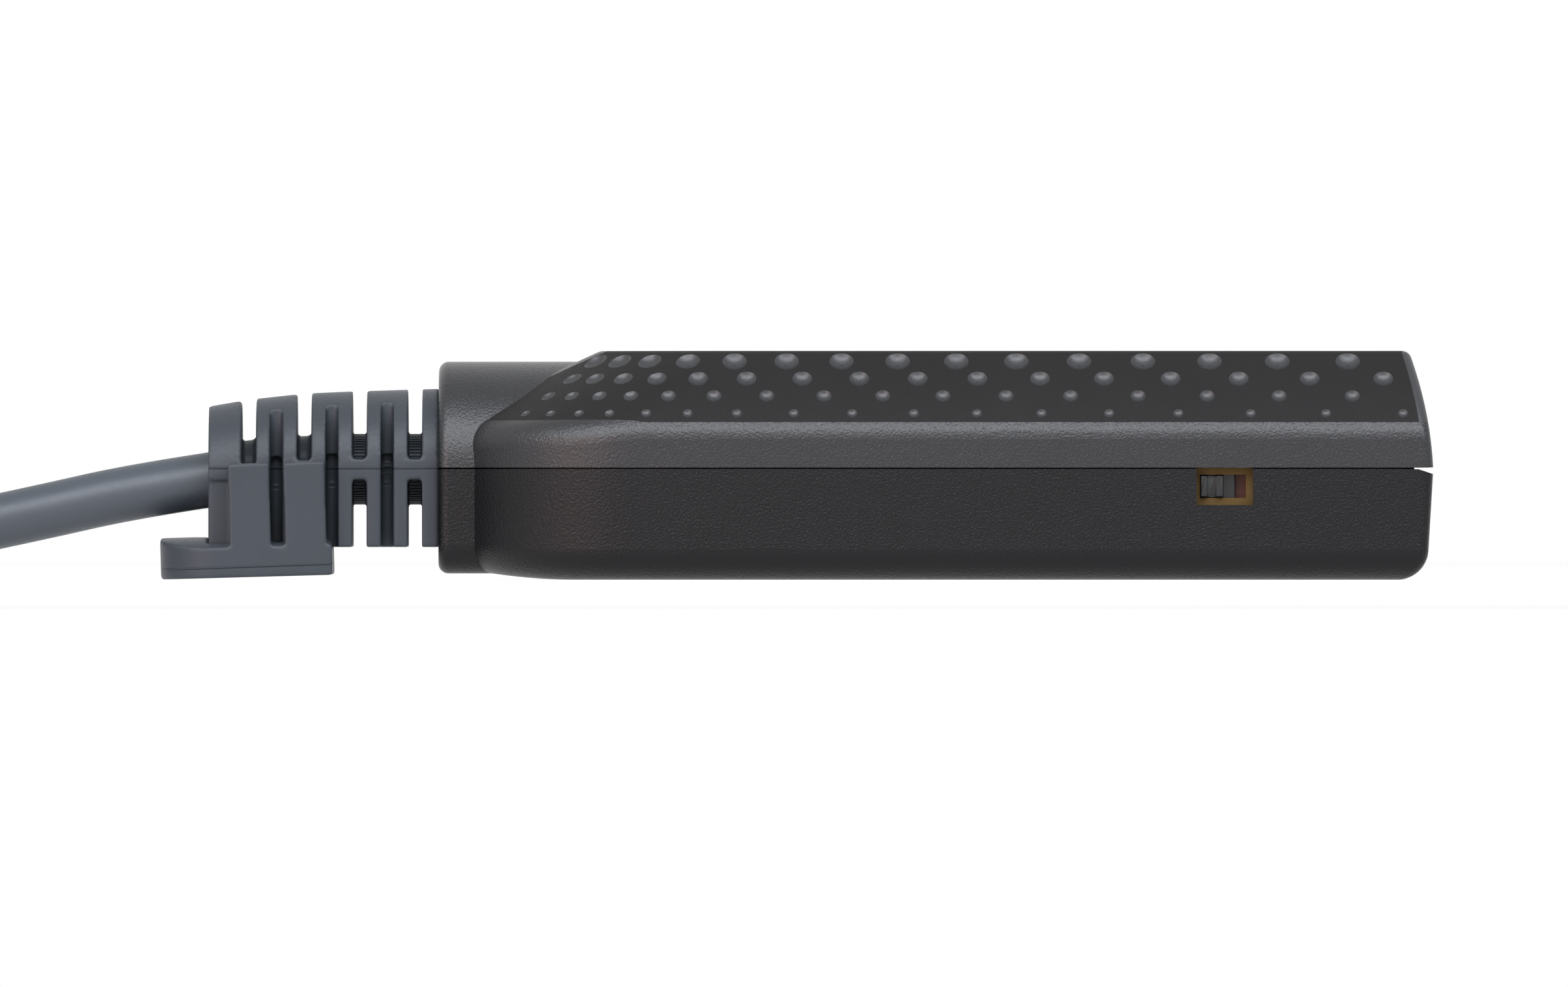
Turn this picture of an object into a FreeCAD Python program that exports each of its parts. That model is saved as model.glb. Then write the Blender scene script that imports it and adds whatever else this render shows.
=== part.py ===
"""In-line KVM dongle: a two-part moulded case with a network jack and a slide switch,
a segmented strain relief with a clip on it, and a short lead with a small plug.

The origin is under the middle of the rigid dongle, on the surface that it rests on.
X runs from the lead to the jack, Y across the case, Z up. All sizes are in millimetres.
"""
import FreeCAD, Part
import math
import os
import re
import Sketcher
from FreeCAD import Placement, Rotation, Vector

doc = FreeCAD.newDocument("kvm_dongle")

# ---------------------------------------------------------------- driving dimensions
SIZES = {
    # case
    "case_end": 57.6, "case_length": 89.75, "case_half_width": 17.0, "case_height": 20.7,
    "seam_height": 10.0, "seam_gap": 0.15, "ridge_height": 13.5, "top_half_width": 10.9,
    "grip_rake": 14.45, "grip_bulge": 0.6, "wall": 2.0, "nose_round": 17.0,
    "nose_corner": 2.5, "nose_flat": 0.9, "front_rake": 13.55, "turn_rake": 10.3,
    "turn_bulge": 0.4, "ridge_round": 3.0, "rim_round": 1.2, "foot_round": 2.8,
    "corner_round": 0.9, "end_arc": 38.0,
    "end_lean": 3.0, "end_draft": 0.6, "end_wall": 3.4,
    "nose_rise_run": 12.3, "nose_rise_radius": 52.0,
    "lip_thickness": 0.8, "lip_rise": 1.2, "lip_clearance": 0.1,
    "notch_depth": 1.35, "notch_mouth": 0.45,
    # collar at the lead end
    "collar_proud": 0.2, "collar_radius": 9.76, "collar_run": 18.0, "collar_foot": 0.56,
    "collar_corner": 2.6, "collar_round": 0.9,
    "neck_radius": 5.4, "neck_clearance": 0.1, "flange_radius": 7.2, "flange_thickness": 1.5,
    # dimples of the grip
    "dimple_top_gap": 0.95, "dimple_row_drop": 1.57, "dimple_big": 2.2, "dimple_shrink": 0.43,
    "dimple_depth_share": 0.22, "dimple_nose_gap": 13.95, "dimple_start_step": 2.1,
    "dimple_nose_pitch": 2.8, "dimple_pitch": 5.25, "dimple_pitch_growth": 0.035,
    "dimple_end_margin": 2.0, "dimple_squeeze": 0.022, "dimple_lead": 0.12,
    # screws and bosses
    "screw_inset": 11.15, "screw_y": 10.2, "screw_radius": 1.1, "screw_head_radius": 2.0,
    "screw_head_height": 1.4, "screw_length": 11.0, "screw_recess": 1.2,
    "boss_radius": 2.6, "boss_top": 14.7,
    # board
    "board_inset": 15.65, "board_bottom": 5.0, "board_thickness": 1.6, "board_side_gap": 0.7,
    "board_end_gap": 0.4, "peg_x": 28.0, "front_peg_inset": 8.5, "peg_y": 11.0,
    "peg_radius": 0.9, "post_radius": 1.9, "peg_clearance": 0.15,
    # network jack
    "jack_half_width": 7.95, "jack_height": 11.6, "jack_depth": 17.6,
    "plug_half_width": 5.85, "plug_height": 6.8, "plug_sill": 1.7, "plug_depth": 13.0,
    "latch_half_width": 3.05, "latch_height": 1.5, "tongue_half_width": 1.7,
    "tongue_height": 1.2, "shield_thickness": 0.3,
    "contact_count": 8, "contact_pitch": 1.02, "contact_thickness": 0.32,
    # slide switch
    "switch_middle": 38.59, "switch_length": 8.6, "switch_height": 3.7, "switch_depth": 3.6,
    "frame_thickness": 0.3, "frame_inset": 1.5, "slot_length": 4.15, "slot_height": 2.1,
    "knob_length": 2.1, "knob_clearance": 0.05, "knob_face_gap": 1.0, "slide_block": 4.3,
    "slide_thickness": 0.9, "slot_lift": 0.8, "cutout_left": 36.2, "cutout_length": 5.1,
    "cutout_depth": 3.24, "relief_clearance": 0.12, "knob_groove": 0.8,
    "knob_groove_depth": 0.45, "slide_travel": 1.95, "terminal_pitch": 2.0,
    "terminal_side": 0.5, "terminal_length": 2.6,
    # chips and the other parts on the board
    "controller_x": 19.0, "controller_side": 12.0, "chip_height": 1.4, "chip_lead": 1.0,
    "video_inset": 16.0, "video_y": -3.0, "video_side": 9.0, "crystal_gap": 9.0, "crystal_y": 9.6,
    "crystal_length": 11.0, "crystal_width": 4.4, "crystal_height": 3.4,
    "capacitor_x": 30.0, "capacitor_y": 5.5, "capacitor_radius": 2.5, "capacitor_height": 5.4,
    "header_inset": 2.5, "header_depth": 4.0, "header_half_width": 6.4, "header_height": 4.2,
    "wire_count": 6, "wire_radius": 0.5, "wire_pitch": 1.7, "wire_gap": 0.4,
    # lead inside the dongle
    "cord_radius": 2.5, "cable_gap": 3.0, "cable_straight": 8.85, "cable_bend": 77.0,
    "cable_bend_angle": 9.0, "cable_stub": 1.0, "ferrule_wall": 0.8, "ferrule_length": 4.0,
    "ferrule_gap": 1.2,
    # strain relief
    "boot_radius": 7.3, "boot_taper": 0.03, "boot_foot": 2.95, "first_ring": 1.5,
    "gap_length": 1.3, "pair_length": 3.72, "pair_count": 3, "end_block": 3.0,
    "core_radius": 3.1, "web_half_height": 0.9, "slot_length_side": 1.13, "spine_half": 3.8,
    "window_half_height": 1.4, "end_step": 0.3, "end_step_length": 2.1,
    # clip on the strain relief
    "clip_reach": 25.37, "clip_length": 15.6, "clip_half_width": 8.9, "clip_edge": 2.75,
    "clip_crown": 1.0, "clip_corner": 5.0, "clip_tilt": 1.6, "finger_top": 10.3,
    "finger_length": 3.75, "finger_offset": 0.28, "clip_hole": 1.6, "clip_hole_x": 5.1,
    # coil of the lead, its tie, and the plug on its end
    "coil_x": -113.0, "coil_y": -1.4, "coil_radius": 25.0, "coil_lift": 0.4,
    "tie_width": 6.0, "tie_thickness": 0.5, "tie_clearance": 0.3,
    "plug_length": 21.0, "plug_width": 11.6, "plug_thick": 6.4, "plug_round": 2.4,
    "tail_length": 4.0, "tail_radius": 3.1, "shell_length": 6.6, "shell_width": 8.3,
    "shell_thick": 2.4, "shell_wall": 0.3, "insert_wall": 0.45,
}
sheet = doc.addObject("Spreadsheet::Sheet", "Sizes")
for row, (alias, number) in enumerate(SIZES.items(), start=1):
    sheet.set(f"A{row}", alias.replace("_", " "))
    sheet.set(f"B{row}", str(number))
    sheet.setAlias(f"B{row}", alias)
doc.recompute()


def tied(formula):
    """The formula with the sheet's name before each of its cells."""
    return re.sub(r"[a-z_]+", lambda word: "Sizes." + word.group()
                  if word.group() in SIZES else word.group(), str(formula))


def value(formula):
    """What a formula of the sheet's cells comes to."""
    return float(sheet.evalExpression(tied(formula)))


def bind(thing, **places):
    """Ties properties to formulas; a double underscore stands for a full stop."""
    for name, formula in places.items():
        thing.setExpression(name.replace("__", "."), tied(formula))
    return thing


nodes = []


def node(thing, name):
    """Makes a document object one named piece of the dongle."""
    thing.Label = name
    nodes.append(thing)
    return thing


# ---------------------------------------------------------------- plain shapes
def block(name, x, y, z, length, width, height):
    """A box from its low corner, its sizes tied to the sheet."""
    return bind(doc.addObject("Part::Box", name), Placement__Base__x=x, Placement__Base__y=y,
                Placement__Base__z=z, Length=length, Width=width, Height=height)


def centred(name, x, half_width, z, length, height):
    """A box that lies evenly on both sides of the middle plane."""
    return block(name, x, f"-({half_width})", z, length, f"2 * ({half_width})", height)


def rod(name, x, y, z, radius, length, axis="Z"):
    """A cylinder from the middle of its first face, along an axis."""
    turn = {"X": Rotation(Vector(0, 1, 0), 90), "Z": Rotation()}[axis]
    thing = doc.addObject("Part::Cylinder", name)
    thing.Placement = Placement(Vector(), turn)
    return bind(thing, Placement__Base__x=x, Placement__Base__y=y, Placement__Base__z=z,
                Radius=radius, Height=length)


def cut(name, base, *tools):
    """The base without the tools."""
    tool = tools[0] if len(tools) == 1 else fuse(name + "_tools", *tools)
    thing = doc.addObject("Part::Cut", name)
    thing.Base, thing.Tool = base, tool
    return thing


def fuse(name, *shapes):
    thing = doc.addObject("Part::MultiFuse", name)
    thing.Shapes = list(shapes)
    return thing


def group(name, *shapes):
    """Like pieces that are one node: separate solids that don't touch."""
    thing = doc.addObject("Part::Compound", name)
    thing.Links = list(shapes)
    return thing


# ---------------------------------------------------------------- sketches
def plane(body, role):
    return next(o for o in body.Origin.OriginFeatures if o.Role == role)


def sketch_on(body, name, role, offset="0"):
    """An empty sketch on one of the body's own planes, moved along its normal."""
    sketch = body.newObject("Sketcher::SketchObject", name)
    sketch.AttachmentSupport = (plane(body, role), [""])
    sketch.MapMode = "FlatFace"
    return bind(sketch, AttachmentOffset__Base__z=offset)


def hold(sketch, kind, *where):
    """Adds a constraint. The last entry is a formula if the kind has a size."""
    if kind in ("DistanceX", "DistanceY", "Radius"):
        at = sketch.addConstraint(Sketcher.Constraint(kind, *where[:-1], value(where[-1])))
        sketch.setExpression(f"Constraints[{at}]", tied(where[-1]))
    else:
        sketch.addConstraint(Sketcher.Constraint(kind, *where))


def polygon(sketch, corners):
    """A closed outline with each corner at two formulas of the sheet."""
    spots = [Vector(value(x), value(y), 0) for x, y in corners]
    for i, spot in enumerate(spots):
        sketch.addGeometry(Part.LineSegment(spot, spots[(i + 1) % len(spots)]))
    for i, (x, y) in enumerate(corners):
        hold(sketch, "Coincident", i, 1, (i - 1) % len(corners), 2)
        hold(sketch, "DistanceX", -1, 1, i, 1, x)
        hold(sketch, "DistanceY", -1, 1, i, 1, y)


def u_outline(body, name, height, half_width, left, right):
    """A plan outline: straight sides, a square right end and a half-round left end."""
    sketch = sketch_on(body, name, "XY_Plane", height)
    middle = f"({left}) + ({half_width})"
    w, m, r = value(half_width), value(middle), value(right)
    for a, b in (((m, -w), (r, -w)), ((r, -w), (r, w)), ((r, w), (m, w))):
        sketch.addGeometry(Part.LineSegment(Vector(*a, 0), Vector(*b, 0)))
    sketch.addGeometry(Part.ArcOfCircle(Part.Circle(Vector(m, 0, 0), Vector(0, 0, 1), w),
                                        math.pi / 2, 3 * math.pi / 2))
    hold(sketch, "Coincident", 0, 2, 1, 1)
    hold(sketch, "Coincident", 1, 2, 2, 1)
    hold(sketch, "Horizontal", 0)
    hold(sketch, "Vertical", 1)
    hold(sketch, "Horizontal", 2)
    hold(sketch, "Tangent", 2, 2, 3, 1)
    hold(sketch, "Tangent", 3, 2, 0, 1)
    hold(sketch, "PointOnObject", 3, 3, -1)
    hold(sketch, "DistanceX", -1, 1, 3, 3, middle)
    hold(sketch, "Radius", 3, half_width)
    hold(sketch, "DistanceX", -1, 1, 1, 1, right)
    return sketch


def pad(body, name, sketch, length):
    feature = body.newObject("PartDesign::Pad", name)
    feature.Profile = sketch
    return bind(feature, Length=length)


def pocket(body, name, sketch, length, back=False):
    """Cuts a sketch away; back=True cuts along the sketch's normal."""
    feature = body.newObject("PartDesign::Pocket", name)
    feature.Profile = sketch
    feature.Reversed = back
    return bind(feature, Length=length)


def pocket_across(body, name, sketch, width):
    """Cuts a sketch away evenly on both sides of its plane."""
    feature = pocket(body, name, sketch, width)
    feature.Midplane = True
    return feature


def loft(body, name, sketches, ruled=False, subtract=False):
    kind = "PartDesign::SubtractiveLoft" if subtract else "PartDesign::AdditiveLoft"
    feature = body.newObject(kind, name)
    feature.Profile = sketches[0]
    feature.Sections = sketches[1:]
    feature.Ruled = ruled
    return feature


def round_edges(body, name, radius, wanted):
    """Rounds the edges of the body's tip for which wanted(edge) is true."""
    doc.recompute()
    tip = body.Tip
    picked = [f"Edge{i + 1}" for i, edge in enumerate(tip.Shape.Edges) if wanted(edge)]
    feature = body.newObject("PartDesign::Fillet", name)
    feature.Base = (tip, picked)
    return bind(feature, Radius=radius)


def new_body(name):
    return doc.addObject("PartDesign::Body", name)


# ---------------------------------------------------------------- case
CASE_LEFT = "(case_end - case_length)"
BEYOND = "(case_end + 4)"
WIDE = "4 * case_half_width"
SPLIT = "seam_height + seam_gap"
GRIP_MIDDLE = "(ridge_height + case_height) / 2"
GRIP_HALF = "(case_half_width + top_half_width) / 2 + grip_bulge"
INNER_HALF = "(case_half_width - wall)"
INNER_LEFT = f"({CASE_LEFT} + wall)"
INNER_END = "(case_end - end_wall)"
COLLAR_LEFT = f"({CASE_LEFT} - collar_proud)"
CEILING = "(case_height - wall)"
LIP_HALF = f"({INNER_HALF} + lip_thickness)"
SCREW_X = f"({CASE_LEFT} + screw_inset)"
FRAME_FACE = "(case_half_width - frame_inset)"
BOARD_HALF = f"({INNER_HALF} - board_side_gap)"
BOARD_LEFT = f"({CASE_LEFT} + board_inset)"
HEADER_X = f"({BOARD_LEFT} + header_inset)"
VIDEO_X = f"({BOARD_LEFT} + video_inset)"
CRYSTAL_X = f"({VIDEO_X} + crystal_gap)"
CABLE_START = f"({BOARD_LEFT} - cable_gap)"
BEND_START = f"({CASE_LEFT} - cable_straight)"
CLIP_LEFT = f"({CASE_LEFT} - clip_reach)"


def level(height):
    """Whether an edge lies flat at a height, apart from the unfinished right end."""
    z, limit = value(height), value("case_end")
    return lambda edge: (all(abs(v.Point.z - z) < 1e-4 for v in edge.Vertexes)
                         and abs(edge.CenterOfMass.z - z) < 1e-3 and edge.CenterOfMass.x < limit)


def half_arch(body, name, upward, radius, foot, left):
    """Half of the collar's section, across X at a plane: half round above, square below."""
    sketch = sketch_on(body, name, "YZ_Plane", left)
    if not upward:
        polygon(sketch, [(f"-({radius})", foot), (radius, foot), (radius, "seam_height"),
                         (f"-({radius})", "seam_height")])
        return sketch
    r, middle, low = value(radius), value("seam_height"), value(SPLIT)
    reach = math.asin((low - middle) / r)
    side = r * math.cos(reach)
    sketch.addGeometry(Part.LineSegment(Vector(-side, low, 0), Vector(side, low, 0)))
    sketch.addGeometry(Part.ArcOfCircle(Part.Circle(Vector(0, middle, 0), Vector(0, 0, 1), r),
                                        reach, math.pi - reach))
    hold(sketch, "Coincident", 0, 2, 1, 1)
    hold(sketch, "Coincident", 0, 1, 1, 2)
    hold(sketch, "PointOnObject", 1, 3, -2)
    hold(sketch, "Horizontal", 0)
    hold(sketch, "DistanceY", -1, 1, 1, 3, "seam_height")
    hold(sketch, "Radius", 1, radius)
    hold(sketch, "DistanceY", -1, 1, 0, 1, SPLIT)
    return sketch


def end_curve(body, name):
    """Cuts the jack end to its gentle arc, seen from the side, above the seam."""
    lean = value("end_lean")
    sketch = sketch_on(body, name + "Outline", "XZ_Plane")
    end, low, top = value("case_end"), value("seam_height"), value("case_height") + 4
    arc = value("end_arc")
    tilt = math.radians(lean)
    middle = Vector(end - arc * math.cos(tilt), low - arc * math.sin(tilt), 0)
    reach = math.asin((top - middle.y) / arc)
    sketch.addGeometry(Part.ArcOfCircle(Part.Circle(middle, Vector(0, 0, 1), arc), tilt, reach))
    high = Vector(middle.x + arc * math.cos(reach), top, 0)
    corners = [high, Vector(end + 8, top, 0), Vector(end + 8, low, 0), Vector(end, low, 0)]
    for a, b in zip(corners, corners[1:]):
        sketch.addGeometry(Part.LineSegment(a, b))
    hold(sketch, "Coincident", 0, 2, 1, 1)
    hold(sketch, "Coincident", 1, 2, 2, 1)
    hold(sketch, "Coincident", 2, 2, 3, 1)
    hold(sketch, "Coincident", 3, 2, 0, 1)
    hold(sketch, "Horizontal", 1)
    hold(sketch, "Vertical", 2)
    hold(sketch, "Horizontal", 3)
    hold(sketch, "DistanceX", -1, 1, 0, 1, "case_end")
    hold(sketch, "DistanceY", -1, 1, 0, 1, "seam_height")
    hold(sketch, "Radius", 0, "end_arc")
    hold(sketch, "DistanceX", -1, 1, 0, 3, "case_end - end_arc * cos(end_lean * 1deg)")
    hold(sketch, "DistanceY", -1, 1, 1, 1, "case_height + 4")
    hold(sketch, "DistanceX", -1, 1, 2, 1, "case_end + 8")
    return pocket_across(body, name, sketch, WIDE)


def at_end(edge):
    """Whether an edge is on the rim of the jack end, above the seam."""
    return edge.BoundBox.XMin > value("case_end - 3.5") and edge.CenterOfMass.z > value(SPLIT) + 0.1


def front_rim(edge):
    """Whether an edge is on the rim of the collar's front face."""
    left, radius = value(COLLAR_LEFT), value("collar_radius")
    box, middle = edge.BoundBox, edge.CenterOfMass
    return (abs(box.XMin - left) < 1e-3 and abs(box.XMax - left) < 1e-3
            and abs(middle.z - value(SPLIT)) > 0.01 and abs(middle.z - value("seam_height")) > 0.01)


def nose_outline(body, name, height, half_width, turn, front):
    """A plan outline with a blunt nose: an arc a side, a small corner round and a flat front."""
    sketch = sketch_on(body, name, "XY_Plane", height)
    w, t, f, r = value(half_width), value(turn), value(front), value(BEYOND)
    wide, tight = value("nose_round"), value("nose_corner")
    inner = Vector(f + tight, w - wide + math.sqrt((wide - tight) ** 2 - (t - f - tight) ** 2), 0)
    swing = math.atan2(inner.y - w + wide, inner.x - t)
    low, up = Vector(0, 0, 1), math.pi / 2
    for a, b in (((t, -w), (r, -w)), ((r, -w), (r, w)), ((r, w), (t, w))):
        sketch.addGeometry(Part.LineSegment(Vector(*a, 0), Vector(*b, 0)))
    for middle, radius, start, finish in (
            (Vector(t, w - wide, 0), wide, up, swing), (inner, tight, swing, math.pi)):
        sketch.addGeometry(Part.ArcOfCircle(Part.Circle(middle, low, radius), start, finish))
    sketch.addGeometry(Part.LineSegment(Vector(f, inner.y, 0), Vector(f, -inner.y, 0)))
    for middle, radius, start, finish in (
            (inner, tight, math.pi, -swing), (Vector(t, w - wide, 0), wide, -swing, -up)):
        mirrored = Vector(middle.x, -middle.y, 0)
        sketch.addGeometry(Part.ArcOfCircle(Part.Circle(mirrored, low, radius),
                                            start % (2 * math.pi), finish % (2 * math.pi)))
    hold(sketch, "Coincident", 0, 2, 1, 1)
    hold(sketch, "Coincident", 1, 2, 2, 1)
    for line in (0, 2):
        hold(sketch, "Horizontal", line)
    for line in (1, 5):
        hold(sketch, "Vertical", line)
    for before, after in ((2, 3), (3, 4), (4, 5), (5, 6), (6, 7), (7, 0)):
        hold(sketch, "Tangent", before, 2, after, 1)
    hold(sketch, "DistanceX", -1, 1, 3, 3, turn)
    hold(sketch, "DistanceX", -1, 1, 7, 3, turn)
    hold(sketch, "DistanceX", -1, 1, 5, 1, front)
    hold(sketch, "DistanceX", -1, 1, 1, 1, BEYOND)
    hold(sketch, "DistanceY", -1, 1, 1, 2, half_width)
    hold(sketch, "DistanceY", -1, 1, 1, 1, f"0 - ({half_width})")
    for arc, size in ((3, "nose_round"), (4, "nose_corner"), (6, "nose_corner"),
                      (7, "nose_round")):
        hold(sketch, "Radius", arc, size)
    return sketch


upper = new_body("UpperBody")
RIDGE_NOSE = (f"{CASE_LEFT} + nose_round", f"{CASE_LEFT} + nose_flat")
MIDDLE_NOSE = (f"{CASE_LEFT} + nose_round + turn_rake * 0.5 + turn_bulge",
               f"{CASE_LEFT} + nose_flat + front_rake / 2 - grip_bulge")
TOP_NOSE = (f"{CASE_LEFT} + nose_round + turn_rake", f"{CASE_LEFT} + nose_flat + front_rake")
pad(upper, "Band", nose_outline(upper, "BandOutline", SPLIT, "case_half_width", *RIDGE_NOSE),
    f"ridge_height - ({SPLIT})")
loft(upper, "Grip", [
    nose_outline(upper, "RidgeOutline", "ridge_height", "case_half_width", *RIDGE_NOSE),
    nose_outline(upper, "GripOutline", GRIP_MIDDLE, GRIP_HALF, *MIDDLE_NOSE),
    nose_outline(upper, "TopOutline", "case_height", "top_half_width", *TOP_NOSE)])
round_edges(upper, "RidgeRound", "ridge_round", level("ridge_height"))
round_edges(upper, "RimRound", "rim_round", level("case_height"))
end_curve(upper, "EndCurve")
round_edges(upper, "EndRound", "corner_round", at_end)
pad(upper, "Collar", half_arch(upper, "CollarSection", True, "collar_radius", None, COLLAR_LEFT),
    "collar_run")
round_edges(upper, "CollarRound", "collar_round", front_rim)
pocket(upper, "Cavity", u_outline(upper, "CavityOutline", SPLIT, INNER_HALF, INNER_LEFT, INNER_END),
       "ridge_height - wall * 0.6 - seam_height - seam_gap", back=True)
loft(upper, "GripCavity", [
    u_outline(upper, "CavityRidge", "ridge_height - wall * 0.6", INNER_HALF, INNER_LEFT, INNER_END),
    u_outline(upper, "CavityTop", CEILING, "top_half_width - wall * 0.35",
              f"{CASE_LEFT} + grip_rake + wall * 0.2", INNER_END)], ruled=True, subtract=True)
pocket(upper, "CollarCavity",
       half_arch(upper, "CollarCavitySection", True, "collar_radius - wall", None,
                 f"{COLLAR_LEFT} + wall"), "collar_run - wall", back=True)
pocket(upper, "LipRecess",
       u_outline(upper, "LipRecessOutline", SPLIT, f"{LIP_HALF} + lip_clearance",
                 f"{INNER_LEFT} - lip_thickness - lip_clearance",
                 f"{INNER_END} + lip_thickness + lip_clearance"),
       "lip_rise - seam_gap", back=True)
doc.recompute()


def nose_underside(body, name):
    """Cuts the arc by which the underside rises towards the nose."""
    sketch = sketch_on(body, name + "Outline", "XZ_Plane")
    start, radius = f"({CASE_LEFT} + nose_rise_run)", "nose_rise_radius"
    far = f"({CASE_LEFT} - 4)"
    x, r, low = value(start), value(radius), -4
    reach = math.asin((x - value(far)) / r)
    sketch.addGeometry(Part.ArcOfCircle(Part.Circle(Vector(x, r, 0), Vector(0, 0, 1), r),
                                        -math.pi / 2 - reach, -math.pi / 2))
    high = Vector(value(far), r - r * math.cos(reach), 0)
    corners = [Vector(x, 0, 0), Vector(x, low, 0), Vector(value(far), low, 0), high]
    for a, b in zip(corners, corners[1:]):
        sketch.addGeometry(Part.LineSegment(a, b))
    for i in range(3):
        hold(sketch, "Coincident", i, 2, i + 1, 1)
    hold(sketch, "Coincident", 3, 2, 0, 1)
    hold(sketch, "Vertical", 1)
    hold(sketch, "Horizontal", 2)
    hold(sketch, "Vertical", 3)
    hold(sketch, "DistanceX", -1, 1, 0, 3, start)
    hold(sketch, "DistanceY", -1, 1, 0, 3, radius)
    hold(sketch, "Radius", 0, radius)
    hold(sketch, "DistanceX", -1, 1, 1, 1, start)
    hold(sketch, "DistanceX", -1, 1, 2, 2, far)
    hold(sketch, "DistanceY", -1, 1, 1, 2, "0 - 4")
    return pocket_across(body, name, sketch, WIDE)


def foot_edge(edge):
    """Whether an edge is on the outer border of the underside."""
    box = edge.BoundBox
    crosses = box.XLength < 1e-3 and box.XMax < value("case_end - 3")
    return box.ZMax < value("nose_rise_radius") * 0.05 and box.ZLength < 2.5 and not crosses


def upright_corner(edge):
    """Whether an edge is one of the two upright corners of the jack end."""
    box = edge.BoundBox
    return box.ZLength > value("seam_height") * 0.5 and box.XMin > value("case_end - 2")


def collar_foot_edge(edge):
    """Whether an edge is one of the collar's two long lower corners."""
    box = edge.BoundBox
    radius, foot = value("collar_radius"), value("collar_foot")
    return (box.XMax < value(f"{CASE_LEFT} + collar_run") and abs(box.YMin) - radius < 1e-3
            and abs(abs(edge.CenterOfMass.y) - radius) < 1e-3 and box.ZMax < foot + 1e-3
            and box.XLength > 0.5)


lower = new_body("LowerBody")
pad(lower, "Tray", u_outline(lower, "TrayOutline", "0", "case_half_width", CASE_LEFT, "case_end"),
    "seam_height")
draft = sketch_on(lower, "DraftOutline", "XZ_Plane")
polygon(draft, [("case_end", "seam_height"), ("case_end - end_draft", "0"),
                ("case_end - end_draft", "0 - 4"), ("case_end + 4", "0 - 4"),
                ("case_end + 4", "seam_height")])
pocket_across(lower, "EndDraft", draft, WIDE)
nose_underside(lower, "NoseRise")
round_edges(lower, "FootRound", "foot_round", foot_edge)
round_edges(lower, "UprightRound", "corner_round", upright_corner)
pad(lower, "CollarTrough", half_arch(lower, "CollarBase", False, "collar_radius", "collar_foot",
                                COLLAR_LEFT), "collar_run")
round_edges(lower, "CollarFootRound", "collar_corner", collar_foot_edge)
round_edges(lower, "CollarRim", "collar_round", front_rim)
pad(lower, "Lip", u_outline(lower, "LipOutline", "seam_height", LIP_HALF,
                            f"{INNER_LEFT} - lip_thickness", f"{INNER_END} + lip_thickness"),
    "lip_rise")
pocket(lower, "Hollow", u_outline(lower, "HollowOutline", "seam_height + lip_rise", INNER_HALF,
                                  INNER_LEFT, INNER_END), "seam_height + lip_rise - wall")
notch = sketch_on(lower, "NotchOutline", "XZ_Plane")
polygon(notch, [("case_end - notch_depth", "seam_height"), ("case_end", "seam_height - notch_mouth"),
                ("case_end + 2", "seam_height - notch_mouth"), ("case_end + 2", "seam_height + 2"),
                ("case_end - notch_depth", "seam_height + 2")])
pocket_across(lower, "Notch", notch, WIDE)
pocket(lower, "CollarHollow",
       half_arch(lower, "CollarHollowSection", False, "collar_radius - wall",
                 "collar_foot + wall", f"{COLLAR_LEFT} + wall"), "collar_run - wall", back=True)
doc.recompute()

# ---------------------------------------------------------------- lead inside the dongle
BOARD_TOP = "(board_bottom + board_thickness)"
BEND_RUN = "(cable_bend * tan(cable_bend_angle * 1deg / 2))"
LEAN_COS = "cos(cable_bend_angle * 1deg)"
LEAN_SIN = "sin(cable_bend_angle * 1deg)"
BEND_CORNER = f"({BEND_START} - {BEND_RUN})"
cable_end = (f"{BEND_CORNER} - ({BEND_RUN} + cable_stub) * {LEAN_COS}", "0",
             f"seam_height - ({BEND_RUN} + cable_stub) * {LEAN_SIN}")
cable_route = [(CABLE_START, "0", "seam_height"), (BEND_CORNER, "0", "seam_height"), cable_end]


def spot(place):
    """A point from three formulas or numbers."""
    return Vector(*(value(each) for each in place))


def route_wire(points, radii=None):
    """Straight runs joined by tangent arcs, each as large as its two runs allow."""
    start, edges, used = points[0], [], []
    for i in range(1, len(points) - 1):
        before, corner, after = points[i - 1], points[i], points[i + 1]
        into, out = (corner - before).normalize(), (after - corner).normalize()
        half_turn = into.getAngle(out) / 2
        shorter = min((corner - before).Length, (after - corner).Length)
        radius = radii[i - 1] if radii else 0.45 * shorter / math.tan(half_turn)
        reach = radius * math.tan(half_turn)
        first, last = corner - into * reach, corner + out * reach
        inward = (out - into).normalize()
        middle = corner + inward * (radius / math.cos(half_turn) - radius)
        edges += [Part.LineSegment(start, first).toShape(), Part.Arc(first, middle, last).toShape()]
        used.append(radius)
        start = last
    edges.append(Part.LineSegment(start, points[-1]).toShape())
    return Part.Wire(edges), used


def tube(name, points, radius, radii=None):
    """A round solid along a route. Its volume has to be its section times its length."""
    wire, used = route_wire(points, radii)
    ring = Part.Wire(Part.makeCircle(radius, points[0], points[1] - points[0]))
    thing = doc.addObject("Part::Feature", name)
    thing.Shape = wire.makePipeShell([ring], True, False)
    expected = math.pi * radius ** 2 * wire.Length
    print(f"{name}: length {wire.Length:.2f}, radii {[round(r, 1) for r in used]}, "
          f"volume {thing.Shape.Volume / expected:.4f} of section times length")
    return thing


cable_points = [spot(place) for place in cable_route]
cable = node(tube("InnerCable", cable_points, value("cord_radius"), [value("cable_bend")]),
             "inner_cable")
core = tube("BootCore", [Vector(value(f"{COLLAR_LEFT} + 1"), 0, value("seam_height")),
                         cable_points[1], cable_points[2]],
            value("core_radius"), [value("cable_bend")])

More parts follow.
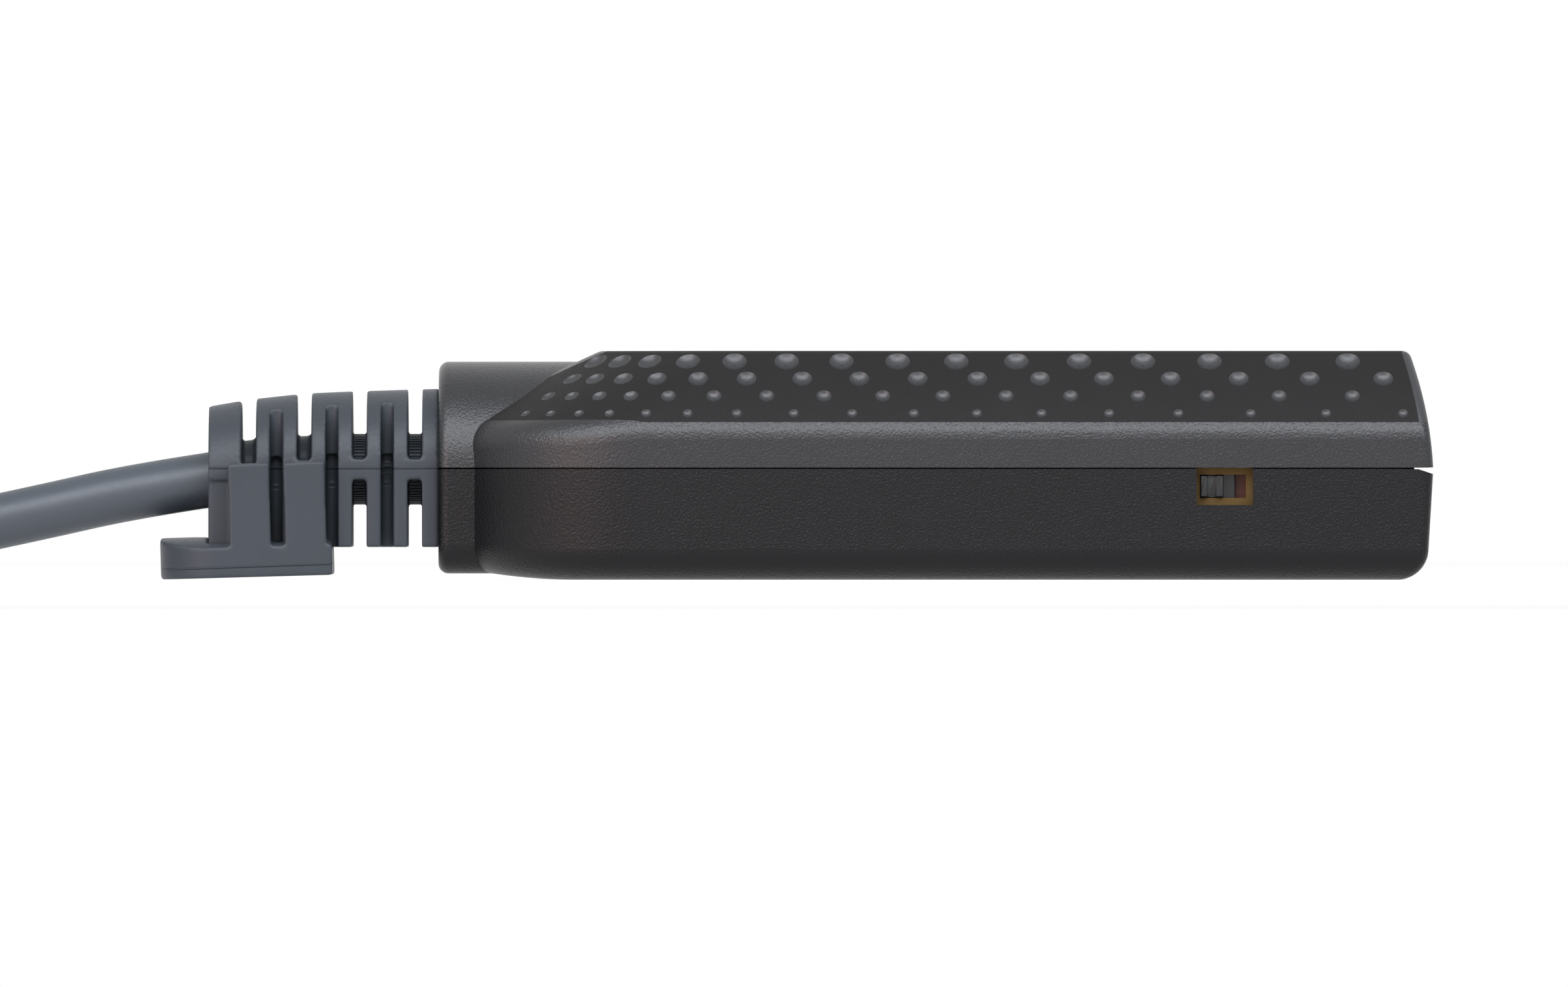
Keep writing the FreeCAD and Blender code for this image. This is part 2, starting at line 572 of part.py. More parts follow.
# ---------------------------------------------------------------- strain relief boot
PAIR_PITCH = "(pair_length + gap_length)"


def axis_height(x):
    """The height of the cable's axis at a place along the boot."""
    if value(x) >= value(BEND_START):
        return "seam_height"
    return f"(seam_height - cable_bend + sqrt(cable_bend ^ 2 - ({BEND_START} - ({x})) ^ 2))"


def arch_radius(x):
    """The boot tapers away from the collar."""
    return f"(boot_radius - boot_taper * ({COLLAR_LEFT} - ({x})))"


def arch(name, x):
    """The boot's section at a place: a half round above the axis, upright sides below it."""
    sketch = doc.addObject("Sketcher::SketchObject", name)
    sketch.Placement = Placement(Vector(), Rotation(Vector(1, 1, 1), 120))
    bind(sketch, Placement__Base__x=x)
    r, c, foot = value(arch_radius(x)), value(axis_height(x)), value("boot_foot")
    corners = [Vector(-r, c, 0), Vector(-r, foot, 0), Vector(r, foot, 0), Vector(r, c, 0)]
    for a, b in zip(corners, corners[1:]):
        sketch.addGeometry(Part.LineSegment(a, b))
    sketch.addGeometry(Part.ArcOfCircle(Part.Circle(Vector(0, c, 0), Vector(0, 0, 1), r),
                                        0, math.pi))
    for i in range(2):
        hold(sketch, "Coincident", i, 2, i + 1, 1)
    hold(sketch, "Vertical", 0)
    hold(sketch, "Horizontal", 1)
    hold(sketch, "Vertical", 2)
    hold(sketch, "Tangent", 2, 2, 3, 1)
    hold(sketch, "Tangent", 3, 2, 0, 1)
    hold(sketch, "PointOnObject", 3, 3, -2)
    hold(sketch, "DistanceY", -1, 1, 3, 3, axis_height(x))
    hold(sketch, "Radius", 3, arch_radius(x))
    hold(sketch, "DistanceY", -1, 1, 1, 1, "boot_foot")
    return sketch


def ring(name, left, right):
    """One ring of the boot, tapered between two sections."""
    thing = doc.addObject("Part::Loft", name)
    thing.Sections = [arch(name + "Left", left), arch(name + "Right", right)]
    thing.Solid, thing.Ruled = True, True
    return thing


def both_sides(name, x, y, z, length, width, height):
    """Two like boxes, one on each side of the middle plane."""
    return [block(name + "Near", x, f"0 - ({y}) - ({width})", z, length, width, height),
            block(name + "Far", x, y, z, length, width, height)]


pair_count = int(value("pair_count"))
first_gap = f"({COLLAR_LEFT} - first_ring - gap_length)"
rings = [ring("RingFirst", f"{COLLAR_LEFT} - first_ring", COLLAR_LEFT)]
webs, slots, gap_lefts = [], [], []
for i in range(pair_count + 1):
    gap_left = f"({first_gap} - {i} * {PAIR_PITCH})"
    gap_lefts.append(gap_left)
    last = i == pair_count
    size = "end_block" if last else "pair_length"
    left = f"({gap_left} - {size})"
    rings.append(ring(f"Ring{i + 1}", left, gap_left))
    webs.append(centred(f"Web{i + 1}", f"{gap_left} - 0.2", arch_radius(gap_left),
                        f"{axis_height(gap_left)} - web_half_height", "gap_length + 0.4",
                        "2 * web_half_height"))
    if last:
        slots += both_sides("EndStep", f"{left} - 1", f"{arch_radius(left)} - end_step", "0",
                            "end_step_length + 1", "4", axis_height(left))
        boot_end = left
    else:
        slot_left = f"({left} + pair_length / 2 - slot_length_side / 2)"
        slots += both_sides(f"SideSlot{i + 1}", slot_left, "spine_half", "0", "slot_length_side",
                            "boot_radius", "2 * seam_height")
        slots += both_sides(f"SlotWindow{i + 1}", slot_left, "core_radius",
                            f"{axis_height(slot_left)} - window_half_height", "slot_length_side",
                            "boot_radius", "2 * window_half_height")
neck = rod("Neck", COLLAR_LEFT, "0", "seam_height", "neck_radius",
           "wall + neck_clearance + flange_thickness", axis="X")
flange = rod("Flange", f"{COLLAR_LEFT} + wall + neck_clearance", "0", "seam_height",
             "flange_radius", "flange_thickness", axis="X")
outer_core = doc.addObject("Part::Common", "CoreInside")
outer_core.Base = core
outer_core.Tool = centred("CoreLimit", boot_end, "2 * boot_radius", "0",
                          f"{COLLAR_LEFT} + 1 - {boot_end}", "2 * seam_height")
boot_solid = fuse("BootSolid", outer_core, neck, flange, *rings, *webs)
boot = node(cut("Boot", boot_solid, *slots, cable), "strain_relief_boot")

# ---------------------------------------------------------------- clip on the boot

def clip_section():
    """The section of the clip's base: flat below, crowned on top."""
    sketch = doc.addObject("Sketcher::SketchObject", "ClipSection")
    sketch.Placement = Placement(Vector(), Rotation(Vector(1, 1, 1), 120))
    half, edge, crown = value("clip_half_width"), value("clip_edge"), value("clip_crown")
    radius = (half ** 2 + crown ** 2) / (2 * crown)
    corners = [Vector(-half, edge, 0), Vector(-half, 0, 0), Vector(half, 0, 0),
               Vector(half, edge, 0)]
    for a, b in zip(corners, corners[1:]):
        sketch.addGeometry(Part.LineSegment(a, b))
    reach = math.asin(half / radius)
    sketch.addGeometry(Part.ArcOfCircle(
        Part.Circle(Vector(0, edge + crown - radius, 0), Vector(0, 0, 1), radius),
        math.pi / 2 - reach, math.pi / 2 + reach))
    for i in range(3):
        hold(sketch, "Coincident", i, 2, i + 1, 1)
    hold(sketch, "Coincident", 3, 2, 0, 1)
    hold(sketch, "Vertical", 0)
    hold(sketch, "Horizontal", 1)
    hold(sketch, "Vertical", 2)
    hold(sketch, "PointOnObject", 3, 3, -2)
    hold(sketch, "DistanceX", -1, 1, 2, 1, "clip_half_width")
    hold(sketch, "DistanceX", -1, 1, 0, 1, "0 - clip_half_width")
    hold(sketch, "DistanceY", -1, 1, 2, 1, "0")
    hold(sketch, "DistanceY", -1, 1, 2, 2, "clip_edge")
    hold(sketch, "Radius", 3, "(clip_half_width ^ 2 + clip_crown ^ 2) / (2 * clip_crown)")
    return sketch


base = doc.addObject("Part::Extrusion", "ClipBase")
base.Base, base.DirMode, base.Dir = clip_section(), "Custom", Vector(1, 0, 0)
base.Solid = True
bind(base, LengthFwd="clip_length")
doc.recompute()
base_round = doc.addObject("Part::Fillet", "ClipBaseRound")
base_round.Base = base
base_round.Edges = [(i + 1, value("clip_corner"), value("clip_corner"))
                    for i, edge in enumerate(base.Shape.Edges)
                    if edge.BoundBox.XMax < 1e-3 and edge.BoundBox.YLength < 1e-3
                    and edge.BoundBox.ZLength > 1]
fingers = []
for i, gap_left in enumerate(reversed(gap_lefts[-2:])):
    middle = f"({gap_left} + gap_length / 2 + finger_offset - {CLIP_LEFT})"
    fingers += both_sides(f"Finger{i + 1}", f"{middle} - finger_length / 2", "clip_half_width / 2",
                          "clip_edge / 2", "finger_length", "clip_half_width / 2",
                          "finger_top - clip_edge / 2")
clip_solid = fuse("ClipSolid", base_round, *fingers)
clip_solid.Placement = Placement(Vector(), Rotation(Vector(0, -1, 0), 1))
bind(clip_solid, Placement__Base__x=CLIP_LEFT, Placement__Rotation__Angle="clip_tilt")
clip_hole = rod("ClipHole", f"{CLIP_LEFT} + clip_hole_x", "0", "0 - 2", "clip_hole", "clip_edge * 2 + 2")
clip = node(cut("Clip", clip_solid, boot_solid, clip_hole), "cable_clip")
doc.recompute()

# ---------------------------------------------------------------- network jack
def prism(name, corners, y, width):
    """A polygon of the XZ plane made solid along Y from one side."""
    sketch = doc.addObject("Sketcher::SketchObject", name + "Outline")
    sketch.Placement = Placement(Vector(), Rotation(Vector(1, 0, 0), 90))
    bind(sketch, Placement__Base__y=f"({y}) + ({width})")
    polygon(sketch, corners)
    thing = doc.addObject("Part::Extrusion", name)
    thing.Base, thing.DirMode, thing.Dir, thing.Solid = sketch, "Custom", Vector(0, -1, 0), True
    return bind(thing, LengthFwd=width)


JACK_FACE = f"({INNER_END} - shield_thickness)"
JACK_LEFT = f"({JACK_FACE} - jack_depth)"
CAVITY_FOOT = f"({BOARD_TOP} + plug_sill)"
contacts = []
for i in range(int(value("contact_count"))):
    side = f"(({i} - (contact_count - 1) / 2) * contact_pitch - contact_thickness / 2)"
    leg = f"({JACK_LEFT} + {2.0 if i % 2 else 4.0})"
    bend = f"({JACK_FACE} - 1.6)"
    contacts.append(prism(f"Contact{i + 1}", [
        (f"{bend} - 7.4", f"{CAVITY_FOOT} + 2.4"), (f"{bend} - 7.4", f"{CAVITY_FOOT} + 2.05"),
        (f"{bend} - contact_thickness", f"{CAVITY_FOOT} - 0.05"),
        (f"{bend} - contact_thickness", f"{CAVITY_FOOT} - 0.6"),
        (leg, f"{CAVITY_FOOT} - 0.6"), (leg, "board_bottom - 0.8"),
        (f"{leg} + contact_thickness", "board_bottom - 0.8"),
        (f"{leg} + contact_thickness", f"{CAVITY_FOOT} - 0.6 - contact_thickness"),
        (bend, f"{CAVITY_FOOT} - 0.6 - contact_thickness"), (bend, f"{CAVITY_FOOT} + 0.15")],
        side, "contact_thickness"))
jack_contacts = node(group("JackContacts", *contacts), "jack_contacts")
jack_body = centred("JackBody", JACK_LEFT, "jack_half_width", BOARD_TOP, "jack_depth",
                    "jack_height")
PLUG_BACK = f"({JACK_FACE} - plug_depth)"
plug_cavity = centred("PlugCavity", PLUG_BACK, "plug_half_width", CAVITY_FOOT, "plug_depth + 1",
                      "plug_height")
latch_step = centred("LatchStep", PLUG_BACK, "latch_half_width",
                     f"{CAVITY_FOOT} + plug_height - 0.1", "plug_depth + 1", "latch_height + 0.1")
latch_tongue = centred("LatchTongue", PLUG_BACK, "tongue_half_width",
                       f"{CAVITY_FOOT} + plug_height + latch_height - 0.1", "plug_depth + 1",
                       "tongue_height + 0.1")
jack = node(cut("JackHousing", jack_body, plug_cavity, latch_step, latch_tongue, jack_contacts),
            "jack_housing")
JACK_TOP = f"({BOARD_TOP} + jack_height)"
SHIELD_HALF = "(jack_half_width + shield_thickness)"
shield_box = centred("ShieldBox", f"{JACK_LEFT} - shield_thickness", SHIELD_HALF, BOARD_TOP,
                     "jack_depth + 2 * shield_thickness", "jack_height + shield_thickness")
shield_mouth = centred("ShieldMouth", f"{JACK_FACE} - 1", "plug_half_width + 0.3",
                       f"{CAVITY_FOOT} - 0.3", "3", "plug_height + 0.6")
shield_latch = centred("ShieldLatch", f"{JACK_FACE} - 1", "latch_half_width + 0.3",
                       f"{CAVITY_FOOT} + plug_height", "3", "latch_height + tongue_height + 0.25")
shield_inside = centred("ShieldInside", JACK_LEFT, "jack_half_width", f"{BOARD_TOP} - 1",
                        "jack_depth", "jack_height + 1")
shield = node(cut("JackShield", shield_box, shield_inside, shield_mouth, shield_latch),
              "jack_shield")

# ---------------------------------------------------------------- slide switch
SWITCH_LEFT = "(switch_middle - switch_length / 2)"
FRAME_FRONT = f"(0 - {FRAME_FACE})"
FRAME_BACK = f"({FRAME_FRONT} + frame_thickness)"
SLOT_LEFT = "(switch_middle - slot_length / 2)"
SLOT_FOOT = f"({BOARD_TOP} + slot_lift)"
frame_box = block("FrameBox", SWITCH_LEFT, FRAME_FRONT, BOARD_TOP, "switch_length",
                  "switch_depth", "switch_height")
frame_inside = block("FrameInside", f"{SWITCH_LEFT} + frame_thickness", FRAME_BACK,
                     f"{BOARD_TOP} - 1", "switch_length - 2 * frame_thickness", "switch_depth",
                     "switch_height + 2")
frame_slot = block("FrameSlot", SLOT_LEFT, f"{FRAME_FRONT} - 1", SLOT_FOOT, "slot_length",
                   "frame_thickness + 2", "slot_height")
frame = node(cut("SwitchFrame", frame_box, frame_inside, frame_slot), "switch_frame")

BLOCK_LEFT = f"({SLOT_LEFT} + knob_length / 2 - slide_block / 2)"
BLOCK_FOOT = f"({SLOT_FOOT} - 0.3)"
switch_core = block("SwitchCore", f"{SWITCH_LEFT} + frame_thickness", FRAME_BACK, BOARD_TOP,
                    "switch_length - 2 * frame_thickness", "switch_depth - frame_thickness",
                    "switch_height")
switch_hollow = block("SwitchHollow", f"{BLOCK_LEFT} - knob_clearance", f"{FRAME_BACK} - 1",
                      f"{BLOCK_FOOT} - knob_clearance",
                      "slide_block + slide_travel + 2 * knob_clearance",
                      "1 + slide_thickness + 3 * knob_clearance",
                      "slot_height + 0.6 + 2 * knob_clearance")
switch_base = node(cut("SwitchBase", switch_core, switch_hollow), "switch_base")

KNOB_FACE = "(0 - case_half_width + knob_face_gap)"
slide = block("SlideBlock", BLOCK_LEFT, f"{FRAME_BACK} + knob_clearance", BLOCK_FOOT,
              "slide_block", "slide_thickness", "slot_height + 0.6")
knob = block("Knob", f"{SLOT_LEFT} + knob_clearance", KNOB_FACE, f"{SLOT_FOOT} + knob_clearance",
             "knob_length - knob_clearance", f"{FRAME_BACK} + 2 * knob_clearance - {KNOB_FACE}",
             "slot_height - 2 * knob_clearance")
knob_groove = block("KnobGroove", f"{SLOT_LEFT} + knob_length / 2 - knob_groove / 2",
                    f"{KNOB_FACE} - 1", f"{SLOT_FOOT} - 1", "knob_groove",
                    "1 + knob_groove_depth", "slot_height + 2")
slider = node(cut("Slider", fuse("SliderSolid", slide, knob), knob_groove), "switch_slider")

pins = []
for i in range(3):
    pins.append(block(f"SwitchPin{i + 1}",
                      f"switch_middle + {i - 1} * terminal_pitch - terminal_side / 2",
                      f"{FRAME_FRONT} + switch_depth * 0.6", f"{BOARD_TOP} - terminal_length",
                      "terminal_side", "terminal_side", "terminal_length"))
switch_pins = node(group("SwitchPins", *pins), "switch_terminals")


# ---------------------------------------------------------------- board and what it carries
def chip(name, x, y, side, count):
    """A flat square chip with a row of leads along each side."""
    half = f"({side}) / 2"
    shapes = [block(name + "Case", f"({x}) - {half}", f"({y}) - {half}", f"{BOARD_TOP} + 0.1", side,
                    side, "chip_height")]
    for i in range(count):
        along = f"({i} - {(count - 1) / 2}) * ({side}) / {count + 1} - 0.25"
        for j, edge in enumerate((f"0 - {half} - chip_lead", f"{half} - 0.3")):
            shapes.append(block(f"{name}Lead{2 * j}x{i}", f"({x}) + {edge}", f"({y}) + {along}",
                                BOARD_TOP, "chip_lead + 0.3", "0.5", "0.4"))
            shapes.append(block(f"{name}Lead{2 * j + 1}x{i}", f"({x}) + {along}",
                                f"({y}) + {edge}", BOARD_TOP, "0.5", "chip_lead + 0.3", "0.4"))
    return fuse(name, *shapes)


controller = node(chip("Controller", "controller_x", "0", "controller_side", 8), "controller_chip")
video = node(chip("Video", VIDEO_X, "video_y", "video_side", 6), "video_chip")
can_middle = "crystal_length - crystal_width"
crystal = node(fuse("Crystal", block("CrystalMiddle", f"{CRYSTAL_X} + crystal_width / 2",
                                     "crystal_y - crystal_width / 2", BOARD_TOP, can_middle,
                                     "crystal_width", "crystal_height"),
                    rod("CrystalLeft", f"{CRYSTAL_X} + crystal_width / 2", "crystal_y", BOARD_TOP,
                        "crystal_width / 2", "crystal_height"),
                    rod("CrystalRight", f"{CRYSTAL_X} + crystal_length - crystal_width / 2",
                        "crystal_y", BOARD_TOP, "crystal_width / 2", "crystal_height")), "crystal")
cans = [rod(f"Capacitor{i + 1}", "capacitor_x", f"{sign} capacitor_y", BOARD_TOP,
            "capacitor_radius", "capacitor_height") for i, sign in enumerate(("0 -", ""))]
capacitors = node(group("Capacitors", *cans), "capacitors")
header_box = centred("HeaderBox", HEADER_X, "header_half_width", BOARD_TOP, "header_depth",
                     "header_height")
header_socket = centred("HeaderSocket", f"{HEADER_X} - 1", "header_half_width - 0.8",
                        f"{BOARD_TOP} + 0.8", "header_depth", "header_height - 1.6")
header = node(cut("Header", header_box, header_socket), "cable_header")
WIRE_HEIGHT = f"({BOARD_TOP} + header_height / 2)"
PLUG_LEFT = f"({HEADER_X} - 1.5)"
header_plug = node(centred("HeaderPlug", PLUG_LEFT, "header_half_width - 0.8",
                           f"{BOARD_TOP} + 0.8", "header_depth + 0.5", "header_height - 1.6"),
                   "header_plug")
wires = []
wire_count = int(value("wire_count"))
ring_radius = value("cord_radius - wire_radius - 0.3")
for i in range(wire_count):
    aside = value(f"({i} - {(wire_count - 1) / 2}) * wire_pitch")
    turn = math.radians((150, 30, 90)[int(abs(i - (wire_count - 1) / 2)) % 3])
    start = Vector(value(f"{CABLE_START} + wire_gap"), math.copysign(ring_radius * math.sin(turn), aside),
                   value("seam_height") + ring_radius * math.cos(turn))
    finish = Vector(value(f"{PLUG_LEFT} - wire_gap"), aside, value(WIRE_HEIGHT))
    wire = doc.addObject("Part::Cylinder", f"Wire{i + 1}")
    wire.Placement = Placement(start, Rotation(Vector(0, 0, 1), finish - start))
    wire.Height = (finish - start).Length
    wires.append(bind(wire, Radius="wire_radius"))
core_wires = node(group("CoreWires", *wires), "core_wires")
board_plate = centred("BoardPlate", BOARD_LEFT, BOARD_HALF, "board_bottom",
                 f"{INNER_END} - board_end_gap - {BOARD_LEFT}", "board_thickness")
peg_lines = ("peg_x", f"{BOARD_LEFT} + front_peg_inset")
places = [(x, f"{sign} peg_y") for x in peg_lines for sign in ("0 -", "")]
board_holes = [rod(f"BoardHole{i + 1}", x, y, "board_bottom - 1", "peg_radius + peg_clearance",
                   "board_thickness + 2") for i, (x, y) in enumerate(places)]
board = node(cut("Board", board_plate, *board_holes, jack_contacts, switch_pins), "main_board")
ferrule = node(cut("Ferrule", rod("FerruleRing", f"{CABLE_START} - ferrule_gap - ferrule_length", "0",
                                  "seam_height", "cord_radius + ferrule_wall", "ferrule_length",
                                  axis="X"),
                   rod("FerruleBore", f"{CABLE_START} - ferrule_gap - ferrule_length - 1", "0",
                       "seam_height", "cord_radius", "ferrule_length + 2", axis="X")),
               "cable_ferrule")
doc.recompute()

# ---------------------------------------------------------------- grip dimples
DIMPLE_ROWS = 4


def dimple_pitch(x, row):
    """The spacing along a row, close round the nose and wider towards the jack."""
    run = x - value(CASE_LEFT)
    blend = min(max((run - 10.15) / 20, 0), 1)
    blend *= blend * (3 - 2 * blend)
    near, far = value("dimple_nose_pitch"), value("dimple_pitch")
    pitch = near + (far - near) * blend + value("dimple_pitch_growth") * max(run - 32.15, 0)
    return pitch * (1 - value("dimple_squeeze") * (DIMPLE_ROWS - 1 - row))


def half_contour(shape, height):
    """One side of a body's outline at a height, from its nose along to its end."""
    outline = max(shape.slice(Vector(0, 0, 1), height), key=lambda wire: wire.BoundBox.XLength)
    spots = [spot for spot in outline.discretize(Number=1600) if spot.y <= 0]
    end = max(spot.x for spot in spots)
    spots = [spot for spot in spots if spot.x < end - 1e-3]
    return sorted(spots, key=lambda spot: (spot.x, -spot.y))


def dimple_row(shape, row):
    """Where one row of dimples sits on the near side: each point and its outward normal."""
    height = value(f"case_height - dimple_top_gap - {row} * dimple_row_drop")
    contour = half_contour(shape, height)
    above = half_contour(shape, height + 0.25)
    end = contour[-1].x - value("dimple_end_margin")
    x, found, place = value(f"{CASE_LEFT} + dimple_nose_gap - {row} * dimple_start_step"), [], 0
    while contour[place].x < x:
        place += 1
    while contour[place].x < end:
        spot = contour[place]
        along = (contour[place + 1] - contour[place - 1]).normalize()
        upward = min(above, key=lambda other: (other - spot).Length) - spot
        outward = along.cross(upward).normalize()
        outward = outward if outward.y < 0 else -outward
        found.append((spot, outward))
        pitch, walked = dimple_pitch(spot.x, row), 0
        while walked < pitch and place < len(contour) - 2:
            walked += (contour[place + 1] - contour[place]).Length
            place += 1
        if walked < pitch:
            break
    return found


grip_shape = doc.getObject("EndRound").Shape
dents = []
for row in range(DIMPLE_ROWS):
    wide = f"(dimple_big - {row} * dimple_shrink)"
    deep = f"({wide} * dimple_depth_share)"
    ball = f"(({wide} ^ 2 / 4 + {deep} ^ 2) / 2 / {deep})"
    for i, (place, outward) in enumerate(dimple_row(grip_shape, row)):
        for side, mirror in (("Near", 1), ("Far", -1)):
            dent = doc.addObject("Part::Sphere", f"Dimple{side}{row + 1}x{i + 1}")
            normal = Vector(outward.x, outward.y * mirror, outward.z)
            middle = Vector(place.x, place.y * mirror, place.z) + normal * value(f"{ball} - {deep}")
            dent.Placement = Placement(middle, Rotation(Vector(0, 0, 1), normal))
            bind(dent, Radius=ball, Angle2=f"-asin(1 - ({deep} + dimple_lead) / {ball})")
            dents.append(dent)
dimples = group("Dimples", *dents)

# ---------------------------------------------------------------- the two case halves
neck_hole = rod("NeckHole", f"{COLLAR_LEFT} - 1", "0", "seam_height",
                "neck_radius + neck_clearance", "wall + 2", axis="X")
window = centred("JackWindow", f"{INNER_END} - 1", "jack_half_width - 0.6", f"{BOARD_TOP} + 0.5",
                 "end_wall + 6", "jack_height - 1.1")
relief = block("SwitchRelief", f"{SWITCH_LEFT} - relief_clearance",
               f"{FRAME_FRONT} - relief_clearance", f"{BOARD_TOP} - 0.4",
               "switch_length + 2 * relief_clearance", f"{FRAME_FACE} - {BOARD_HALF} + 0.5",
               "switch_height + 0.4 + relief_clearance")
screw_sides = ("0 -", "")
upper_bosses = [rod(f"UpperBoss{i + 1}", SCREW_X, f"{sign} screw_y", SPLIT, "boss_radius",
                    "boss_top - seam_height - seam_gap") for i, sign in enumerate(screw_sides)]
thread_holes = [rod(f"ThreadHole{i + 1}", SCREW_X, f"{sign} screw_y", SPLIT,
                    "screw_radius", "screw_length + screw_recess - seam_height - seam_gap")
                for i, sign in enumerate(screw_sides)]
upper_plain = cut("UpperPlain", fuse("UpperWithBosses", upper, *upper_bosses), neck_hole,
                  window, relief, *thread_holes)
upper_case = node(cut("UpperCase", upper_plain, dimples), "upper_case")

lower_bosses = [rod(f"LowerBoss{i + 1}", SCREW_X, f"{sign} screw_y", "wall / 2", "boss_radius",
                    "seam_height - wall / 2") for i, sign in enumerate(screw_sides)]
posts, pegs = [], []
for i, (x, y) in enumerate(places):
    posts.append(rod(f"Post{i + 1}", x, y, "wall / 2", "post_radius", "board_bottom - wall / 2"))
    pegs.append(rod(f"Peg{i + 1}", x, y, "wall / 2", "peg_radius", f"{BOARD_TOP} + 0.5 - wall / 2"))
cutout = block("SwitchCutout", "cutout_left", "0 - 2 * case_half_width",
               "seam_height - cutout_depth", "cutout_length",
               f"2 * case_half_width - {FRAME_FACE} + 0.2", "cutout_depth + 4")
lip_gap = centred("CollarLipGap", f"{COLLAR_LEFT} + wall", "collar_radius - wall", "seam_height",
                  "collar_run - wall", "lip_rise + 1")
screw_ways = [rod(f"ScrewWay{i + 1}", SCREW_X, f"{sign} screw_y", "0 - 1",
                  "screw_radius + 0.1", "seam_height + 4") for i, sign in enumerate(screw_sides)]
head_ways = [rod(f"HeadWay{i + 1}", SCREW_X, f"{sign} screw_y", "0 - 1",
                 "screw_head_radius + 0.15", "1 + screw_recess + screw_head_height")
             for i, sign in enumerate(screw_sides)]
lower_case = node(cut("LowerCase", fuse("LowerWithBosses", lower, *lower_bosses, *posts, *pegs),
                      neck_hole, window, relief, cutout, lip_gap, *screw_ways, *head_ways),
                  "lower_case")
screws = []
for i, sign in enumerate(screw_sides):
    head = rod(f"ScrewHead{i + 1}", SCREW_X, f"{sign} screw_y", "screw_recess",
               "screw_head_radius", "screw_head_height")
    shank = rod(f"ScrewShank{i + 1}", SCREW_X, f"{sign} screw_y", "screw_recess",
                "screw_radius", "screw_length")
    socket = rod(f"ScrewSocket{i + 1}", SCREW_X, f"{sign} screw_y", "screw_recess - 1",
                 "screw_radius * 0.7", "1.7")
    screws.append(cut(f"Screw{i + 1}", fuse(f"ScrewBlank{i + 1}", head, shank), socket))
case_screws = node(group("CaseScrews", *screws), "case_screws")
doc.recompute()

# ---------------------------------------------------------------- lead, coil, tie and plug
lead_points = [spot(cable_end)] + [spot(place) for place in (
    (-60.5, 0, 7.9), (-68, 0, 6.2), (-76, 0, 4.5), (-82.6, -3.5, 3.25), (-88.0, -8.5, 2.6),
    (-91.8, -14.6, 2.5))]
lead = node(tube("Lead", lead_points, value("cord_radius")), "lead")


def coil_layer(name, low, high, start, sweep):
    """A flat-sided part of a ring that stands in for one turn of the coiled lead."""
    inner, outer = "coil_radius - cord_radius", "coil_radius + cord_radius"
    sketch = doc.addObject("Sketcher::SketchObject", name + "Section")
    turn = Rotation(Vector(0, 0, 1), start)
    sketch.Placement = Placement(Vector(), turn * Rotation(Vector(1, 0, 0), 90))
    polygon(sketch, [(inner, low), (outer, low), (outer, high), (inner, high)])
    thing = doc.addObject("Part::Revolution", name)
    thing.Source, thing.Axis, thing.Angle = sketch, Vector(0, 0, 1), sweep
    thing.Solid = True
    return thing


LAYER_TOP = "(2 * cord_radius + coil_lift)"
COIL_TOP = f"({LAYER_TOP} + 2 * cord_radius)"
layers = [coil_layer("LowerTurn", "0", LAYER_TOP, 30, 298.1),
          coil_layer("UpperTurn", LAYER_TOP, COIL_TOP, 90, 310)]
turns = fuse("Turns", *layers)
bind(turns, Placement__Base__x="coil_x", Placement__Base__y="coil_y")
TIE_LEFT = "(coil_x - coil_radius - cord_radius)"


def tie_block(name, around, foot, width):
    """A box round both turns of the coil, on the side away from the dongle."""
    return block(name, f"{TIE_LEFT} - ({around})", f"coil_y - ({width}) / 2", foot,
                 f"2 * cord_radius + 2 * ({around})", width, f"{COIL_TOP} + ({around}) - ({foot})")


tie_outer = tie_block("TieOuter", "tie_clearance + tie_thickness", "0", "tie_width")
tie_inner = tie_block("TieInner", "tie_clearance", "tie_thickness", "tie_width + 2")
tie = node(cut("CoilTie", tie_outer, tie_inner), "coil_tie")
tie_notch = block("TieNotch", f"{TIE_LEFT} - 1", "coil_y - tie_width / 2 - tie_clearance", "0 - 1",
                  "2 * cord_radius + 2", "tie_width + 2 * tie_clearance",
                  "1 + tie_thickness + tie_clearance")
coil = node(cut("LeadCoil", turns, tie_notch), "lead_coil")

PLUG_Y = "(coil_y + coil_radius)"
PLUG_HEIGHT = f"({COIL_TOP} - cord_radius + 0.7)"
PLUG_BODY = "(coil_x + tail_length)"
PLUG_FACE = f"({PLUG_BODY} + plug_length)"


def stadium(name, x, width, thick, length):
    """A flat bar with half-round edges that lies along X on the plug's axis."""
    half = f"({width} - {thick}) / 2"
    middle = block(name + "Middle", x, f"{PLUG_Y} - {half}", f"{PLUG_HEIGHT} - ({thick}) / 2",
                   length, f"{width} - {thick}", thick)
    edges = [rod(f"{name}Edge{i + 1}", x, f"{PLUG_Y} {sign} {half}", PLUG_HEIGHT,
                 f"({thick}) / 2", length, axis="X") for i, sign in enumerate("-+")]
    return fuse(name, middle, *edges)


